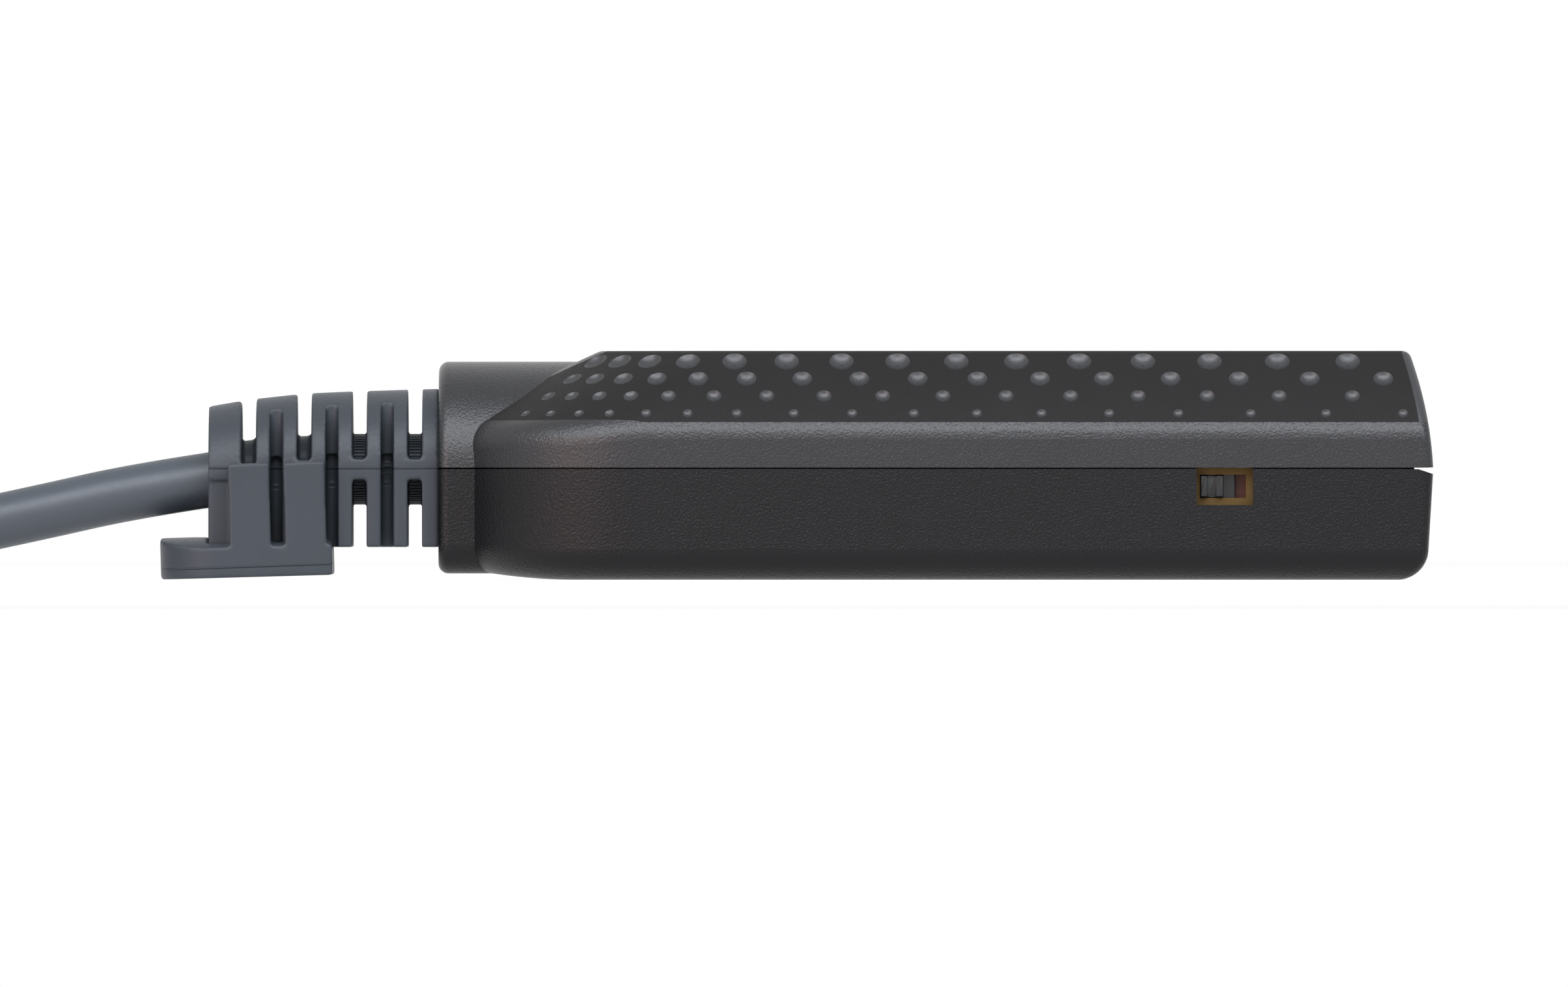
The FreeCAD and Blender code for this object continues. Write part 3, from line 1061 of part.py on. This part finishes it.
plug_box = block("PlugBox", PLUG_BODY, f"{PLUG_Y} - plug_width / 2",
                 f"{PLUG_HEIGHT} - plug_thick / 2", "plug_length", "plug_width", "plug_thick")
doc.recompute()
plug_round = doc.addObject("Part::Fillet", "PlugRound")
plug_round.Base = plug_box
plug_round.Edges = [(i + 1, value("plug_round"), value("plug_round"))
                    for i, edge in enumerate(plug_box.Shape.Edges) if edge.BoundBox.XLength > 1]
plug_tail = rod("PlugTail", "coil_x", PLUG_Y, PLUG_HEIGHT, "tail_radius",
                "tail_length + 2", axis="X")
shell_lap = "3"
shell_core = stadium("ShellCore", f"{PLUG_FACE} - {shell_lap}", "(shell_width)", "(shell_thick)",
                     f"shell_length + {shell_lap}")
shell_bore = stadium("ShellBore", f"{PLUG_FACE} - {shell_lap} - 1",
                     "(shell_width - 2 * shell_wall)", "(shell_thick - 2 * shell_wall)",
                     f"shell_length + {shell_lap} + 2")
insert_bar = stadium("InsertBar", f"{PLUG_FACE} - {shell_lap}",
                     "(shell_width - 2 * shell_wall)", "(shell_thick - 2 * shell_wall)",
                     f"shell_length + {shell_lap} - 0.4")
insert_slot = stadium("InsertSlot", f"{PLUG_FACE} + 1",
                      "(shell_width - 2 * shell_wall - 2 * insert_wall)",
                      "(shell_thick - 2 * shell_wall - 2 * insert_wall)", "shell_length")
plug_body = node(cut("PlugOvermould", fuse("PlugSolid", plug_round, plug_tail), shell_core),
                 "plug_overmould")
plug_shell = node(cut("PlugShell", shell_core, shell_bore), "plug_shell")
plug_insert = node(cut("PlugInsert", insert_bar, insert_slot), "plug_insert")
doc.recompute()

# ---------------------------------------------------------------- checks and files
faulty = [thing.Name for thing in doc.Objects
          if {"Invalid", "Error"} & set(thing.State)]
for thing in nodes:
    shape = thing.Shape
    if shape.isNull() or not shape.isValid():
        faulty.append(thing.Label)
    print(f"{thing.Label}: {len(shape.Solids)} solids, {shape.Volume:.1f} mm3")
if faulty:
    raise RuntimeError(f"faulty objects: {faulty}")
os.makedirs("parts", exist_ok=True)
for thing in nodes:
    thing.Shape.exportStep(f"parts/{thing.Label}.step")
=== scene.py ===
import math
import bmesh
import bpy
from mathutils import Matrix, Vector


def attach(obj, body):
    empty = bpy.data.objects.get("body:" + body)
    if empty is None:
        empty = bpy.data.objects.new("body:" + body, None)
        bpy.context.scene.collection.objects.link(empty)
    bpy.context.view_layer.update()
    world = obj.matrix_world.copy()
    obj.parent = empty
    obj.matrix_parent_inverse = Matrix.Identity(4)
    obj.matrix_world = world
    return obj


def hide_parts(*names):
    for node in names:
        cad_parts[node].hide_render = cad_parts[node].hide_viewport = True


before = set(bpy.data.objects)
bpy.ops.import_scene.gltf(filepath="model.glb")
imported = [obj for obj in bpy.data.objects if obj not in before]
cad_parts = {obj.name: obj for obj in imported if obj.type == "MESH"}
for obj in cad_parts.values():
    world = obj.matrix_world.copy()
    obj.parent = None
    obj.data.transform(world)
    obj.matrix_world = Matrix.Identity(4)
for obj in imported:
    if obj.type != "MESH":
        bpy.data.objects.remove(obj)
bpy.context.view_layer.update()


# ---- Camera. It stands level with the dongle, far off with a long lens, so that the long
# ---- side of the case is seen square on, and its top and its ends are seen edge on.
MM = 0.001  # the frame is in metres, and the sizes below are in millimetres


def camera():
    lens, sensor = 900.0, 36.0
    near_side = -17.0  # the case's side with the switch
    view_width = 141.6  # what the view spans there
    centre_x, centre_z = -1.06, 7.8
    data = bpy.data.cameras.new("camera")
    data.lens, data.sensor_width = lens, sensor
    data.clip_end = 20
    viewer = bpy.data.objects.new("camera", data)
    away = view_width * lens / sensor
    viewer.location = Vector((centre_x, near_side - away, centre_z)) * MM
    viewer.rotation_euler = (math.radians(90), 0, 0)
    bpy.context.collection.objects.link(viewer)
    bpy.context.scene.camera = viewer


camera()


# ---- The lead: a round cable in an extruded vinyl jacket, 5 mm across. It leaves the boot,
# ---- sags to the desk and is put away as two tied turns, one on the other. It is made as
# ---- one smooth spline through the same places as the solids.
def linear(code):
    """An sRGB hex colour as linear red, green, blue and alpha."""
    parts = [int(code[i:i + 2], 16) / 255 for i in (1, 3, 5)]
    return [p / 12.92 if p <= 0.04045 else ((p + 0.055) / 1.055) ** 2.4 for p in parts] + [1.0]


def add(tree, kind, links=None, **settings):
    """Adds a node with its settings; links maps its inputs to sockets or plain values."""
    node = tree.nodes.new(kind)
    for name, setting in settings.items():
        setattr(node, name, setting)
    for name, source in (links or {}).items():
        if isinstance(source, bpy.types.NodeSocket):
            tree.links.new(source, node.inputs[name])
        else:
            node.inputs[name].default_value = source
    return node


def material(name):
    """An empty material, its tree and its Principled shader."""
    mat = bpy.data.materials.new(name)
    mat.use_nodes = True
    return mat, mat.node_tree, mat.node_tree.nodes["Principled BSDF"]


def dress(piece, mat):
    """Gives a piece, or a CAD node by name, one material all over."""
    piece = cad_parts[piece] if isinstance(piece, str) else piece
    piece.data.materials.clear()
    piece.data.materials.append(mat)
    return piece


def moulded(name, colour, spread, roughness, grain, height, specular=0.5):
    """Plastic that wanders from colour to spread in wide faint patches, with a grain of
    bumps; grain is their width and height their height, in mm."""
    patch = 11.11  # mm
    uneven = 0.05  # how far the grain shifts the roughness
    mat, tree, shader = material(name)
    place = add(tree, "ShaderNodeTexCoord").outputs["Object"]
    fine = add(tree, "ShaderNodeTexNoise", {"Vector": place, "Scale": 1000 / grain,
                                            "Detail": 3.0})
    broad = add(tree, "ShaderNodeTexNoise", {"Vector": place, "Scale": 1000 / patch,
                                             "Detail": 4.0})
    mix = add(tree, "ShaderNodeMix", {0: broad.outputs["Fac"]}, data_type="RGBA")
    for socket, shade in zip([s for s in mix.inputs if s.type == "RGBA"], (colour, spread)):
        socket.default_value = linear(shade)
    hue = [s for s in mix.outputs if s.type == "RGBA"][0]
    tree.links.new(hue, shader.inputs["Base Color"])
    rough = add(tree, "ShaderNodeMapRange", {
        "Value": fine.outputs["Fac"], "From Min": 0.3, "From Max": 0.7,
        "To Min": roughness - uneven, "To Max": roughness + uneven})
    tree.links.new(rough.outputs["Result"], shader.inputs["Roughness"])
    bump = add(tree, "ShaderNodeBump", {"Height": fine.outputs["Fac"], "Strength": 1.0,
                                        "Distance": height * MM})
    tree.links.new(bump.outputs["Normal"], shader.inputs["Normal"])
    shader.inputs["Specular IOR Level"].default_value = specular
    return mat


def cord_route():
    """The lead's points from the boot, then its turns round the coil, in metres."""
    route = [(-54.033, 0, 8.896), (-60.5, 0, 7.9), (-68, 0, 6.2), (-76, 0, 4.5),
             (-82.6, -3.5, 3.25), (-88.0, -8.5, 2.7)]
    middle, radius = (-113.0, -1.4), 25.0
    low, high = 2.6, 8.0  # the heights of the two turns
    climb_from, climb_to = -305.0, -370.0  # where one turn rises onto the other
    first, last, steps = -31.9, -630.0, 40
    strap_lift, lift_reach = 0.4, 40.0  # how high the strap lifts a turn, over what angle
    # The spline passes inside its points, which are about 15 degrees apart, so they stand
    # that much farther out.
    outer = radius / math.cos(math.radians(15.0 / 2))
    for step in range(steps + 1):
        turn = first + (last - first) * step / steps
        climb = min(max((climb_from - turn) / (climb_from - climb_to), 0), 1)
        height = low + (high - low) * climb * climb * (3 - 2 * climb)
        # The strap passes under the lower turn at its far end and lifts it a little.
        lift = strap_lift * math.exp(-((turn % 360 - 180) / lift_reach) ** 2) * (climb == 0)
        angle = math.radians(turn)
        route.append((middle[0] + outer * math.cos(angle), middle[1] + outer * math.sin(angle),
                      height + lift))
    route += [(-109.5, 23.6, 8.4), (-107.5, 23.6, 8.6)]  # into the plug
    return [Vector(point) * MM for point in route]


def cord_piece():
    thickness = 5.0
    curve = bpy.data.curves.new("lead_cord", "CURVE")
    curve.dimensions = "3D"
    curve.bevel_depth, curve.bevel_resolution = thickness / 2 * MM, 10
    curve.resolution_u, curve.use_fill_caps = 16, True
    spline = curve.splines.new("NURBS")
    route = cord_route()
    spline.points.add(len(route) - 1)
    for point, place in zip(spline.points, route):
        point.co = (*place, 1)
    spline.order_u, spline.use_endpoint_u = 3, True
    piece = bpy.data.objects.new("lead_cord", curve)
    bpy.context.collection.objects.link(piece)
    return piece


# Soft vinyl, extruded: even and slightly waxy, so that its highlight is broad.
jacket = moulded("extruded_vinyl_jacket", "#3d444b", "#434a51", roughness=0.42, grain=0.35,
                 height=0.006)
lead_cord = dress(cord_piece(), jacket)
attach(lead_cord, "dongle")
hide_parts("lead", "lead_coil")
dress("inner_cable", jacket)


# ---- Coil tie: a flat strap of black nylon, moulded in one piece and closed round both
# ---- turns at the coil's far side, so that the lead stays put away.
def softened(node, name, edge, sharp=32.0):
    """A copy of a CAD node whose edges are rounded by so many mm, as a mould leaves them."""
    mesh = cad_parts[node].data.copy()
    mesh.name = name
    form = bmesh.new()
    form.from_mesh(mesh)
    bmesh.ops.remove_doubles(form, verts=form.verts, dist=1e-7)
    form.to_mesh(mesh)
    form.free()
    mesh.shade_smooth()
    mesh.set_sharp_from_angle(angle=math.radians(sharp))
    piece = bpy.data.objects.new(name, mesh)
    bpy.context.collection.objects.link(piece)
    if edge:
        bevel = piece.modifiers.new("moulded_edge", "BEVEL")
        bevel.width, bevel.segments, bevel.limit_method = edge * MM, 2, "ANGLE"
        bevel.angle_limit = math.radians(sharp)
    evener = piece.modifiers.new("even_shading", "WEIGHTED_NORMAL")
    evener.keep_sharp = True
    return piece


def stands_for(piece, node, body="dongle"):
    """A piece that takes a CAD node's place on its body."""
    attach(piece, body)
    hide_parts(node)
    return piece


# Nylon with a plain tool finish: black, and between matte and satin.
strap = moulded("nylon_strap", "#1c1c1d", "#222223", roughness=0.5, grain=0.4, height=0.01)
coil_tie = stands_for(dress(softened("coil_tie", "coil_strap", edge=0.15), strap),
                      "coil_tie")


# ---- Plug on the far end: a small reversible computer plug. A shell deep drawn from steel
# ---- and plated holds a black insert, and a satin overmould is shot round the shell's back
# ---- and the end of the lead in one go.
def metal(name, colour, roughness):
    """Bare or plated metal: a mirror in its own colour, blurred by its roughness."""
    mat, _, shader = material(name)
    shader.inputs["Base Color"].default_value = linear(colour)
    shader.inputs["Metallic"].default_value = 1.0
    shader.inputs["Roughness"].default_value = roughness
    return mat


# Moulded in a finely blasted tool, which gives it a soft even sheen.
overmould = moulded("satin_overmould", "#2c2f33", "#313438", roughness=0.4, grain=0.3,
                    height=0.006)
# Nickel over drawn steel: bright, with reflections that are slightly blurred.
drawn_steel = metal("plated_drawn_steel", "#b9b9b6", roughness=0.25)
# Glass-filled plastic: a dull, even black.
insert_black = moulded("moulded_black_insert", "#151516", "#19191a", roughness=0.4,
                       grain=0.3, height=0.004)
plug_body = stands_for(
    dress(softened("plug_overmould", "plug_body", edge=0.3), overmould),
    "plug_overmould")
plug_sleeve = stands_for(
    dress(softened("plug_shell", "plug_sleeve", edge=0.05), drawn_steel),
    "plug_shell")
plug_tongue = stands_for(
    dress(softened("plug_insert", "plug_tongue", edge=0.05), insert_black),
    "plug_insert")


# ---- Case: an upper and a lower shell moulded in a dark polycarbonate blend, and held by
# ---- two screws from below. The tool leaves a spark grain on the sides and the collar, a
# ---- matte face on the grip, and smooth dimples in that face.
def twin(node, name):
    """A copy of a CAD node as it is, for finishes of its own. It isn't merged, so that each
    face of the solid stays a group of its own and keeps the solid's normals."""
    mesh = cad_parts[node].data.copy()
    mesh.name = name
    piece = bpy.data.objects.new(name, mesh)
    bpy.context.collection.objects.link(piece)
    return piece


def islands(mesh):
    """The polygons of a CAD mesh in groups, one for each face of the solid."""
    form = bmesh.new()
    form.from_mesh(mesh)
    form.faces.ensure_lookup_table()
    left, groups = set(range(len(form.faces))), []
    while left:
        front, group = [left.pop()], []
        while front:
            group.append(front.pop())
            for edge in form.faces[group[-1]].edges:
                fresh = [face.index for face in edge.link_faces if face.index in left]
                left.difference_update(fresh)
                front += fresh
        groups.append(group)
    form.free()
    return groups


def grip_faces(mesh):
    """The polygons of the grip above the ridge, and those of its dimples."""
    ridge_top, widest_dimple = 13.8, 2.6
    axis_height, collar_radius = 10.0, 9.85
    plain, dimples = [], []
    for group in islands(mesh):
        spots = [mesh.polygons[i].center / MM for i in group]
        low = min(spot.z for spot in spots)
        wide = max(spot.x for spot in spots) - min(spot.x for spot in spots)
        outside = all(math.hypot(spot.y, spot.z - axis_height) > collar_radius
                      for spot in spots)
        if low > ridge_top and outside:
            (plain if wide > widest_dimple else dimples).extend(group)
    return plain, dimples


# Spark eroded tool: the sides glitter finely. The real grain is too fine to show, so it is
# drawn 0.2 mm wide. The lower shell is drawn in a darker colour and with less gloss.
spark = moulded("spark_grained_pc_abs", "#17181b", "#1f2023", roughness=0.28, grain=0.2,
                height=0.066)
spark_tray = moulded("spark_grained_tray", "#09090b", "#0d0d10", roughness=0.3, grain=0.2,
                     height=0.075, specular=0.26)
# A flatter, etched texture, which takes the gloss off the grip.
matte = moulded("matte_grip_face", "#201f1f", "#252424", roughness=0.6, grain=0.3,
                height=0.008, specular=0.12)
# The dimples are left smooth by the tool, and each holds one soft highlight.
satin = moulded("satin_dimple", "#1f2023", "#27282b", roughness=0.4, grain=0.3,
                height=0.006, specular=0.65)
upper = stands_for(dress(twin("upper_case", "upper_shell"), spark), "upper_case")
for number, (finish, faces) in enumerate(zip((matte, satin), grip_faces(upper.data)), 1):
    upper.data.materials.append(finish)
    for index in faces:
        upper.data.polygons[index].material_index = number
stands_for(dress(twin("lower_case", "lower_shell"), spark_tray), "lower_case")


# ---- Seam filler: a dark strip in the lower shell's plastic, set in the seam of the jack end's
# ---- wall on both sides of the jack. It is painted shade: it closes the gap there, so that
# ---- the seam shows as a dark line instead of letting the background through.
def bars(name, boxes):
    """Square bars in one mesh, each from its low and high corner in mm."""
    form = bmesh.new()
    for low, high in boxes:
        size = Vector(high) - Vector(low)
        corners = bmesh.ops.create_cube(form, size=1.0)["verts"]
        for corner in corners:
            offset = Vector((corner.co[i] * size[i] for i in range(3)))
            corner.co = ((Vector(low) + Vector(high)) / 2 + offset) * MM
    mesh = bpy.data.meshes.new(name)
    form.to_mesh(mesh)
    form.free()
    piece = bpy.data.objects.new(name, mesh)
    bpy.context.collection.objects.link(piece)
    return piece


def seam_shade_strips():
    inner, outer = 55.1, 55.9  # in the end wall
    low, high = 9.98, 10.17  # across the seam
    beside_jack, half_run = 11.6, 3.2
    return bars("seam_shade_filler", [((inner, side - half_run, low), (outer, side + half_run, high))
                              for side in (-beside_jack, beside_jack)])


# Painted shade: dark strips that close the seam in the end wall.
seam_shade_filler = dress(seam_shade_strips(), spark_tray)
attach(seam_shade_filler, "dongle")


# ---- Boot and clip: the strain relief is moulded over the lead in a tough, slightly soft
# ---- plastic, in open segments that let it bend. The clip is moulded by itself, and its
# ---- fingers snap into the boot's gaps. The moulds leave their edges rounded.
def remoulded(node, name, cell, passes):
    """A copy of a CAD node rebuilt in even cells of so many mm, whose edges the smoothing
    passes round off."""
    piece = softened(node, name, edge=0)
    remesh = piece.modifiers.new("cells", "REMESH")
    remesh.mode, remesh.voxel_size, remesh.use_smooth_shade = "VOXEL", cell * MM, True
    relax = piece.modifiers.new("rounding", "SMOOTH")
    relax.factor, relax.iterations = 0.5, passes
    evaluated = piece.evaluated_get(bpy.context.evaluated_depsgraph_get())
    mesh = bpy.data.meshes.new_from_object(evaluated)
    mesh.name = name
    piece.modifiers.clear()
    piece.data = mesh
    mesh.shade_smooth()
    return piece


def parting_line(mat, height, slope=0.0):
    """Raises a fine line on a moulded material where the two halves of its mould met: at
    the given height in mm over the origin, rising by slope along X."""
    core, skirt = 0.02, 0.12  # half widths of the line's crest and of its foot, in mm
    strength = 6.0  # against the grain's
    tree = mat.node_tree
    bump = next(node for node in tree.nodes if node.type == "BUMP")
    place = next(node for node in tree.nodes if node.type == "TEX_COORD").outputs["Object"]
    grain = bump.inputs["Height"].links[0].from_socket
    along = add(tree, "ShaderNodeVectorMath", {0: place, 1: (slope, 0, -1)},
                operation="DOT_PRODUCT")
    above = add(tree, "ShaderNodeMath", {0: along.outputs["Value"], 1: height * MM},
                operation="ADD")
    off = add(tree, "ShaderNodeMath", {0: above.outputs[0]}, operation="ABSOLUTE")
    line = add(tree, "ShaderNodeMapRange", {
        "Value": off.outputs[0], "From Min": core * MM, "From Max": skirt * MM,
        "To Min": strength, "To Max": 0.0})
    both = add(tree, "ShaderNodeMath", {0: grain, 1: line.outputs["Result"]}, operation="ADD")
    tree.links.new(both.outputs[0], bump.inputs["Height"])
    return mat


# Both are moulded in a lightly blasted tool: slate grey, between satin and matte.
relief = {"colour": "#373c41", "spread": "#3e4349", "roughness": 0.42, "grain": 0.3,
          "height": 0.02, "specular": 0.26}
boot_plastic = parting_line(moulded("moulded_relief_plastic", **relief), height=10.1)
clip_plastic = parting_line(moulded("moulded_clip_plastic", **relief), height=2.9,
                            slope=0.0346)
stands_for(dress(remoulded("strain_relief_boot", "boot", cell=0.2, passes=2), boot_plastic),
           "strain_relief_boot")
stands_for(dress(remoulded("cable_clip", "clip", cell=0.14, passes=8), clip_plastic),
           "cable_clip")


# ---- Ribs of the core: next to the case the boot's core is moulded with fine ribs along it,
# ---- which key it to the shot of plastic over it. They show in the two nearest gaps.
def ribs_rule():
    """A node group that stands straight ribs evenly round the core."""
    middle = (-36.3, 0, 10.0)  # between the two gaps, on the core's axis
    group = bpy.data.node_groups.new("ribs_round_a_core", "GeometryNodeTree")
    sockets = {}
    for name, kind in (("Count", "NodeSocketInt"), ("Core Radius", "NodeSocketFloat"),
                       ("Rib Length", "NodeSocketFloat"), ("Rib Width", "NodeSocketFloat"),
                       ("Material", "NodeSocketMaterial")):
        sockets[name] = group.interface.new_socket(name, in_out="INPUT", socket_type=kind)
    group.interface.new_socket("Ribs", in_out="OUTPUT", socket_type="NodeSocketGeometry")
    given = group.nodes.new("NodeGroupInput").outputs
    ring = add(group, "GeometryNodeMeshCircle", {"Vertices": given["Count"],
                                                 "Radius": given["Core Radius"]})
    size = add(group, "ShaderNodeCombineXYZ", {"X": given["Rib Width"], "Y": given["Rib Width"],
                                               "Z": given["Rib Length"]})
    rib = add(group, "GeometryNodeMeshCube", {"Size": size.outputs[0]})
    spot = add(group, "GeometryNodeInputPosition")
    outward = add(group, "FunctionNodeAlignRotationToVector", {"Vector": spot.outputs[0]},
                  axis="X", pivot_axis="Z")
    ribs = add(group, "GeometryNodeInstanceOnPoints", {
        "Points": ring.outputs["Mesh"], "Instance": rib.outputs["Mesh"],
        "Rotation": outward.outputs["Rotation"]})
    real = add(group, "GeometryNodeRealizeInstances", {"Geometry": ribs.outputs[0]})
    laid = add(group, "GeometryNodeTransform", {
        "Geometry": real.outputs[0], "Rotation": (0, math.pi / 2, 0),
        "Translation": [part * MM for part in middle]})
    made = add(group, "GeometryNodeSetMaterial", {"Geometry": laid.outputs[0],
                                                  "Material": given["Material"]})
    group.links.new(made.outputs[0], group.nodes.new("NodeGroupOutput").inputs["Ribs"])
    return group, {name: socket.identifier for name, socket in sockets.items()}


def grown(name, rule, **inputs):
    """A plain mesh piece from a node group with the given inputs."""
    group, sockets = rule
    piece = bpy.data.objects.new(name, bpy.data.meshes.new(name))
    bpy.context.collection.objects.link(piece)
    modifier = piece.modifiers.new(name, "NODES")
    modifier.node_group = group
    for key, setting in inputs.items():
        modifier[sockets[key.replace("_", " ")]] = setting
    evaluated = piece.evaluated_get(bpy.context.evaluated_depsgraph_get())
    mesh = bpy.data.meshes.new_from_object(evaluated)
    piece.modifiers.clear()
    piece.data = mesh
    return piece


core_ribs = grown("core_ribs", ribs_rule(), Count=60, Core_Radius=3.12 * MM,
                  Rib_Length=8.0 * MM, Rib_Width=0.17 * MM, Material=boot_plastic)
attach(core_ribs, "dongle")


# ---- Slide switch: a strip frame stamped from brass and folded round a laminate base that
# ---- carries the terminals. A black moulded button slides in it between two settings. It
# ---- is soldered to the board's edge, behind the window in the lower shell.
# Stamped brass, coloured darker than its bright tan as painted shade for its place
# behind the window: brown, with hardly a highlight.
strip = metal("shade_darkened_brass", "#5f4d31", roughness=0.6)
# Polished in its tool, so the button is a little glossier than the case.
button_plastic = moulded("moulded_black_button", "#131314", "#18181a", roughness=0.35,
                         grain=0.25, height=0.004)
# Paper laminate, punched from sheet: reddish brown and dull.
laminate = moulded("brown_laminate", "#5a2a1c", "#6a3424", roughness=0.5, grain=0.2,
                   height=0.01)
dress("switch_frame", strip)
dress("switch_base", laminate)
stands_for(dress(softened("switch_slider", "button", edge=0.12), button_plastic),
           "switch_slider", "switch_knob")


# ---- Network jack: a black moulded housing in a shield folded from plated sheet, with eight
# ---- spring contacts. It is soldered to the board's end and opens in the squared end of
# ---- the case.
# Gold over nickel, as on every spring and terminal: warm and bright.
gold = metal("gold_plating", "#d8b15a", roughness=0.25)
dress("jack_housing", insert_black)
dress("jack_shield", drawn_steel)
dress("jack_contacts", gold)
dress("switch_terminals", gold)


# ---- What the closed case hides: the board, etched and lacquered, with its chips, crystal
# ---- and capacitors soldered on; the crimped end of the lead, whose wires end in a plug on
# ---- a header; and the two steel screws that hold the shells together.
# Lacquer over copper and glass fibre: green and smooth.
solder_mask = moulded("green_solder_mask", "#15502c", "#1a5a33", roughness=0.35, grain=0.5,
                      height=0.003)
# Resin moulded round each chip: dark grey with a fine blasted face.
chip_resin = moulded("chip_resin", "#1d1d1f", "#232325", roughness=0.5, grain=0.1,
                     height=0.004)
# Uncoloured nylon: cream, and slightly waxy.
pale_nylon = moulded("pale_nylon", "#d8d2c0", "#dfdaca", roughness=0.45, grain=0.3,
                     height=0.003)
# The wires' thin vinyl: a flat signal red.
red_vinyl = moulded("red_vinyl", "#9a2a22", "#a43128", roughness=0.45, grain=0.3,
                    height=0.002)
for finish, nodes in ((solder_mask, ("main_board",)),
                      (chip_resin, ("controller_chip", "video_chip")),
                      (pale_nylon, ("cable_header", "header_plug")),
                      (insert_black, ("capacitors",)),
                      (red_vinyl, ("core_wires",)),
                      (drawn_steel, ("crystal", "cable_ferrule", "case_screws"))):
    for node in nodes:
        dress(node, finish)


# ---- Studio: the dongle lies on a sheet of pale paper in a white surround. One wide softbox
# ---- stands high on the near side, and a small warm one, low towards the lead, puts a warm
# ---- gleam on the round of the nose.
def background_rays(tree):
    """1 for the rays that see the background: from the camera, or off metal and glass."""
    path = add(tree, "ShaderNodeLightPath")
    first = add(tree, "ShaderNodeMath", {0: path.outputs["Is Camera Ray"],
                                         1: path.outputs["Is Glossy Ray"]}, operation="MAXIMUM")
    both = add(tree, "ShaderNodeMath", {0: first.outputs[0],
                                        1: path.outputs["Is Transmission Ray"]},
               operation="MAXIMUM")
    return both.outputs[0]


def paper_sheet():
    """Paper that keeps the dongle's shadow; the rays of the background see it nearly white."""
    half = 0.9
    mesh = bpy.data.meshes.new("floor")
    mesh.from_pydata([(-half, -half, 0), (half, -half, 0), (half, half, 0), (-half, half, 0)],
                     [], [(0, 1, 2, 3)])
    sheet = bpy.data.objects.new("floor", mesh)
    bpy.context.collection.objects.link(sheet)
    mat, tree, shader = material("white_paper")
    shader.inputs["Base Color"].default_value = linear("#f0f0f0")
    shader.inputs["Roughness"].default_value = 0.9
    seen = background_rays(tree)
    glow = add(tree, "ShaderNodeEmission", {"Color": linear("#ffffff"), "Strength": 0.9})
    paper = add(tree, "ShaderNodeBsdfDiffuse", {"Color": linear("#909090")})
    lit = add(tree, "ShaderNodeAddShader", {0: glow.outputs[0], 1: paper.outputs[0]})
    mix = add(tree, "ShaderNodeMixShader", {0: seen, 1: shader.outputs[0], 2: lit.outputs[0]})
    tree.links.new(mix.outputs[0], tree.nodes["Material Output"].inputs["Surface"])
    return dress(sheet, mat)


def surround():
    """A dim white room, which the rays of the background see as plain white."""
    world = bpy.data.worlds.new("surround")
    bpy.context.scene.world = world
    world.use_nodes = True
    tree = world.node_tree
    tree.nodes.clear()
    seen = background_rays(tree)
    room = add(tree, "ShaderNodeBackground", {"Color": linear("#ffffff"), "Strength": 0.15})
    white = add(tree, "ShaderNodeBackground", {"Color": linear("#ffffff"), "Strength": 1.0})
    mix = add(tree, "ShaderNodeMixShader", {0: seen, 1: room.outputs[0], 2: white.outputs[0]})
    add(tree, "ShaderNodeOutputWorld", {"Surface": mix.outputs[0]})


def softbox(name, elevation, azimuth, away, width, height, energy, colour):
    """A softbox turned to the dongle, away from it in metres and azimuth degrees round from
    the front towards the jack end."""
    data = bpy.data.lights.new(name, "AREA")
    data.shape, data.size, data.size_y = "RECTANGLE", width, height
    data.energy, data.color = energy, linear(colour)[:3]
    lamp = bpy.data.objects.new(name, data)
    rise, turn = math.radians(elevation), math.radians(azimuth)
    lamp.location = (away * math.cos(rise) * math.sin(turn),
                     -away * math.cos(rise) * math.cos(turn), away * math.sin(rise))
    lamp.rotation_euler = (math.pi / 2 - rise, 0, turn)
    lamp.visible_camera = False
    bpy.context.collection.objects.link(lamp)


floor = paper_sheet()
surround()
softbox("key", elevation=43, azimuth=0, away=0.65, width=1.4, height=0.34, energy=8.6,
        colour="#f2f7ff")
softbox("warm_wall", elevation=8, azimuth=-34, away=0.8, width=0.45, height=0.35, energy=1.6,
        colour="#ffc8b8")
bpy.context.scene.view_settings.view_transform = "Standard"
